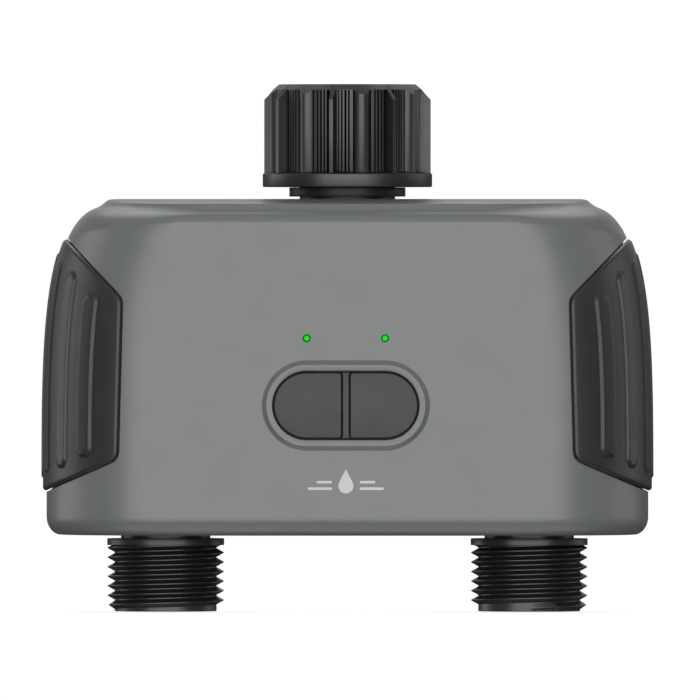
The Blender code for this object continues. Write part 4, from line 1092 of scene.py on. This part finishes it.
def trim(made, name, finish):
    """An extra piece on the timer that stands for no node."""
    made.name = name
    paint(made, finish)
    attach(made, "timer")


place(front_housing(), "timer", "front_housing")
place(rear_housing(), "timer", "rear_housing")
place(bezel(), "timer", "keypad_bezel")
place(inlet_nut(), "inlet_nut", "inlet_nut")
place(inlet_neck(), "timer", "inlet_neck")
place(collar(), "timer", "swivel_collar", finish=COLLAR)
place(tap_washer(), "timer", "inlet_washer")
place(filter_basket(), "timer", "inlet_filter", finish=INNER)
trim(filter_mesh(), "strainer_mesh", WIRE_MESH)
place(battery_door(), "battery_door", "battery_door")
for cell_number in range(1, CELL_COUNT + 1):
    place(battery_cell(cell_number), "timer", f"battery_cell_{cell_number}")
for side_name, side_sign in SIDES.items():
    place(grip_skin(side_name + "_grip_skin", side_sign), "timer", side_name + "_grip")
    place(outlet(side_name), "timer", side_name + "_outlet")
    place(button(side_name), side_name + "_button", side_name + "_button")
    place(light_pipe(side_name), "timer", side_name + "_light_pipe")
    place(door_screw(side_name), side_name + "_door_screw", side_name + "_door_screw")
trim(mark(), "water_sign", INK)


# ---- studio ----
BACKDROP = 1.02                     # radiance of the white the camera sees
FILL_LEVELS = (                     # height of the direction, -1 to 1, and how bright the grey is there
    (-1.0, 0.08), (-0.3, 0.08), (0.2, 0.47), (0.85, 0.47), (1.0, 0.15),
)
FILL_BEHIND = 0.3                   # share of it straight behind
AIM = Vector((0.0006, 0, 0.0607))
CAMERA_DISTANCE = 6.78
CAMERA_TURNS = (0.65, 0.25)         # degrees from the front to +X, degrees up
LIGHT_DISTANCE = 5.0
LIGHTS = {                          # degrees from the front to +X, degrees up, size, radiance
    "front_softbox": (0, 0, (8.0, 3.7), 3.42),
    "overhead_softbox": (0, 66, (4.0, 2.4), 0.8),
    "top_softbox": (180, 50, (4.0, 4.2), 1.7),
    "back_softbox": (180, 12, (5.0, 1.4), 0.5),
    "left_softbox": (-113, 6, (3.2, 3.1), 1.35),
    "right_softbox": (113, 6, (3.2, 3.1), 0.75),
    "floor_bounce": (0, -88, (5.5, 4.2), 1.0),
}


def aim(made, azimuth, elevation, distance):
    """Puts a light or camera at a distance from the object, facing it; the turns are in degrees."""
    turn, rise = radians(azimuth), radians(elevation)
    back = Vector((sin(turn) * cos(rise), -cos(turn) * cos(rise), sin(rise)))
    made.location = AIM + back * distance
    made.rotation_euler = (-back).to_track_quat("-Z", "Y").to_euler()
    bpy.context.scene.collection.objects.link(made)


def area_light(name, azimuth, elevation, size, radiance):
    """A soft rectangular light aimed at the object, unseen by the camera."""
    lamp = bpy.data.lights.new(name, "AREA")
    lamp.shape = "RECTANGLE"
    lamp.size, lamp.size_y = size
    lamp.energy = radiance * pi * size[0] * size[1]
    made = bpy.data.objects.new(name, lamp)
    made.visible_camera = False
    aim(made, azimuth, elevation, LIGHT_DISTANCE)


def studio_world():
    """White surroundings for the camera; what lights the object is grey, darker below and behind."""
    world = bpy.data.worlds.new("studio")
    bpy.context.scene.world = world
    world.use_nodes = True
    tree = world.node_tree
    seen = feed(tree, tree.nodes["Background"], Color=(1, 1, 1, 1), Strength=BACKDROP)
    split = add(tree, "SeparateXYZ", Vector=add(tree, "TexCoord").outputs["Generated"])
    level = add(tree, "MapRange", Value=split.outputs["Z"], From_Min=-1.0)
    stops = [((height + 1) / 2, (grey,) * 3) for height, grey in FILL_LEVELS]
    behind = add(tree, "MapRange", Value=split.outputs["Y"], From_Min=0.3, From_Max=0.95, To_Min=1.0,
                 To_Max=FILL_BEHIND)
    fill = add(tree, "Background", Color=color_ramp(tree, level.outputs["Result"], stops),
               Strength=behind.outputs["Result"])
    mix = add(tree, "MixShader", Fac=add(tree, "LightPath").outputs["Is Camera Ray"])
    tree.links.new(fill.outputs["Background"], mix.inputs[1])
    tree.links.new(seen.outputs["Background"], mix.inputs[2])
    feed(tree, tree.nodes["World Output"], Surface=mix.outputs["Shader"])


def studio_floor():
    """A white floor that only the camera sees, with a soft painted shadow where the outlets stand on it."""
    bpy.ops.mesh.primitive_circle_add(vertices=96, radius=30, fill_type="NGON", location=(0, 0, -0.0002))
    floor = bpy.context.object
    floor.name = "studio_floor"
    floor.visible_diffuse = False
    floor.visible_glossy = False
    floor.visible_shadow = False
    made = bpy.data.materials.new("studio_white")
    made.use_nodes = True
    tree = made.node_tree
    tree.nodes.remove(tree.nodes["Principled BSDF"])
    # painted contact shadow: an occlusion value darkens the floor's glow near the object
    closeness = add(tree, "AmbientOcclusion", Distance=0.02)
    closeness.samples = 8
    shade = color_ramp(tree, closeness.outputs["AO"], ((0.2, (0.86,) * 3), (0.95, (1,) * 3)))
    glow = add(tree, "Emission", Color=shade, Strength=BACKDROP).outputs["Emission"]
    feed(tree, tree.nodes["Material Output"], Surface=glow)
    floor.data.materials.append(made)


def camera():
    """A long lens in front of the keypad, a little to the right and above."""
    lens = bpy.data.cameras.new("camera")
    lens.lens = 1500
    lens.sensor_width = 36
    lens.clip_start, lens.clip_end = 0.1, 100
    made = bpy.data.objects.new("camera", lens)
    aim(made, *CAMERA_TURNS, CAMERA_DISTANCE)
    bpy.context.scene.camera = made


bpy.context.scene.view_settings.view_transform = "Standard"
camera()
studio_world()
studio_floor()
for light_name, light in LIGHTS.items():
    area_light(light_name, *light)
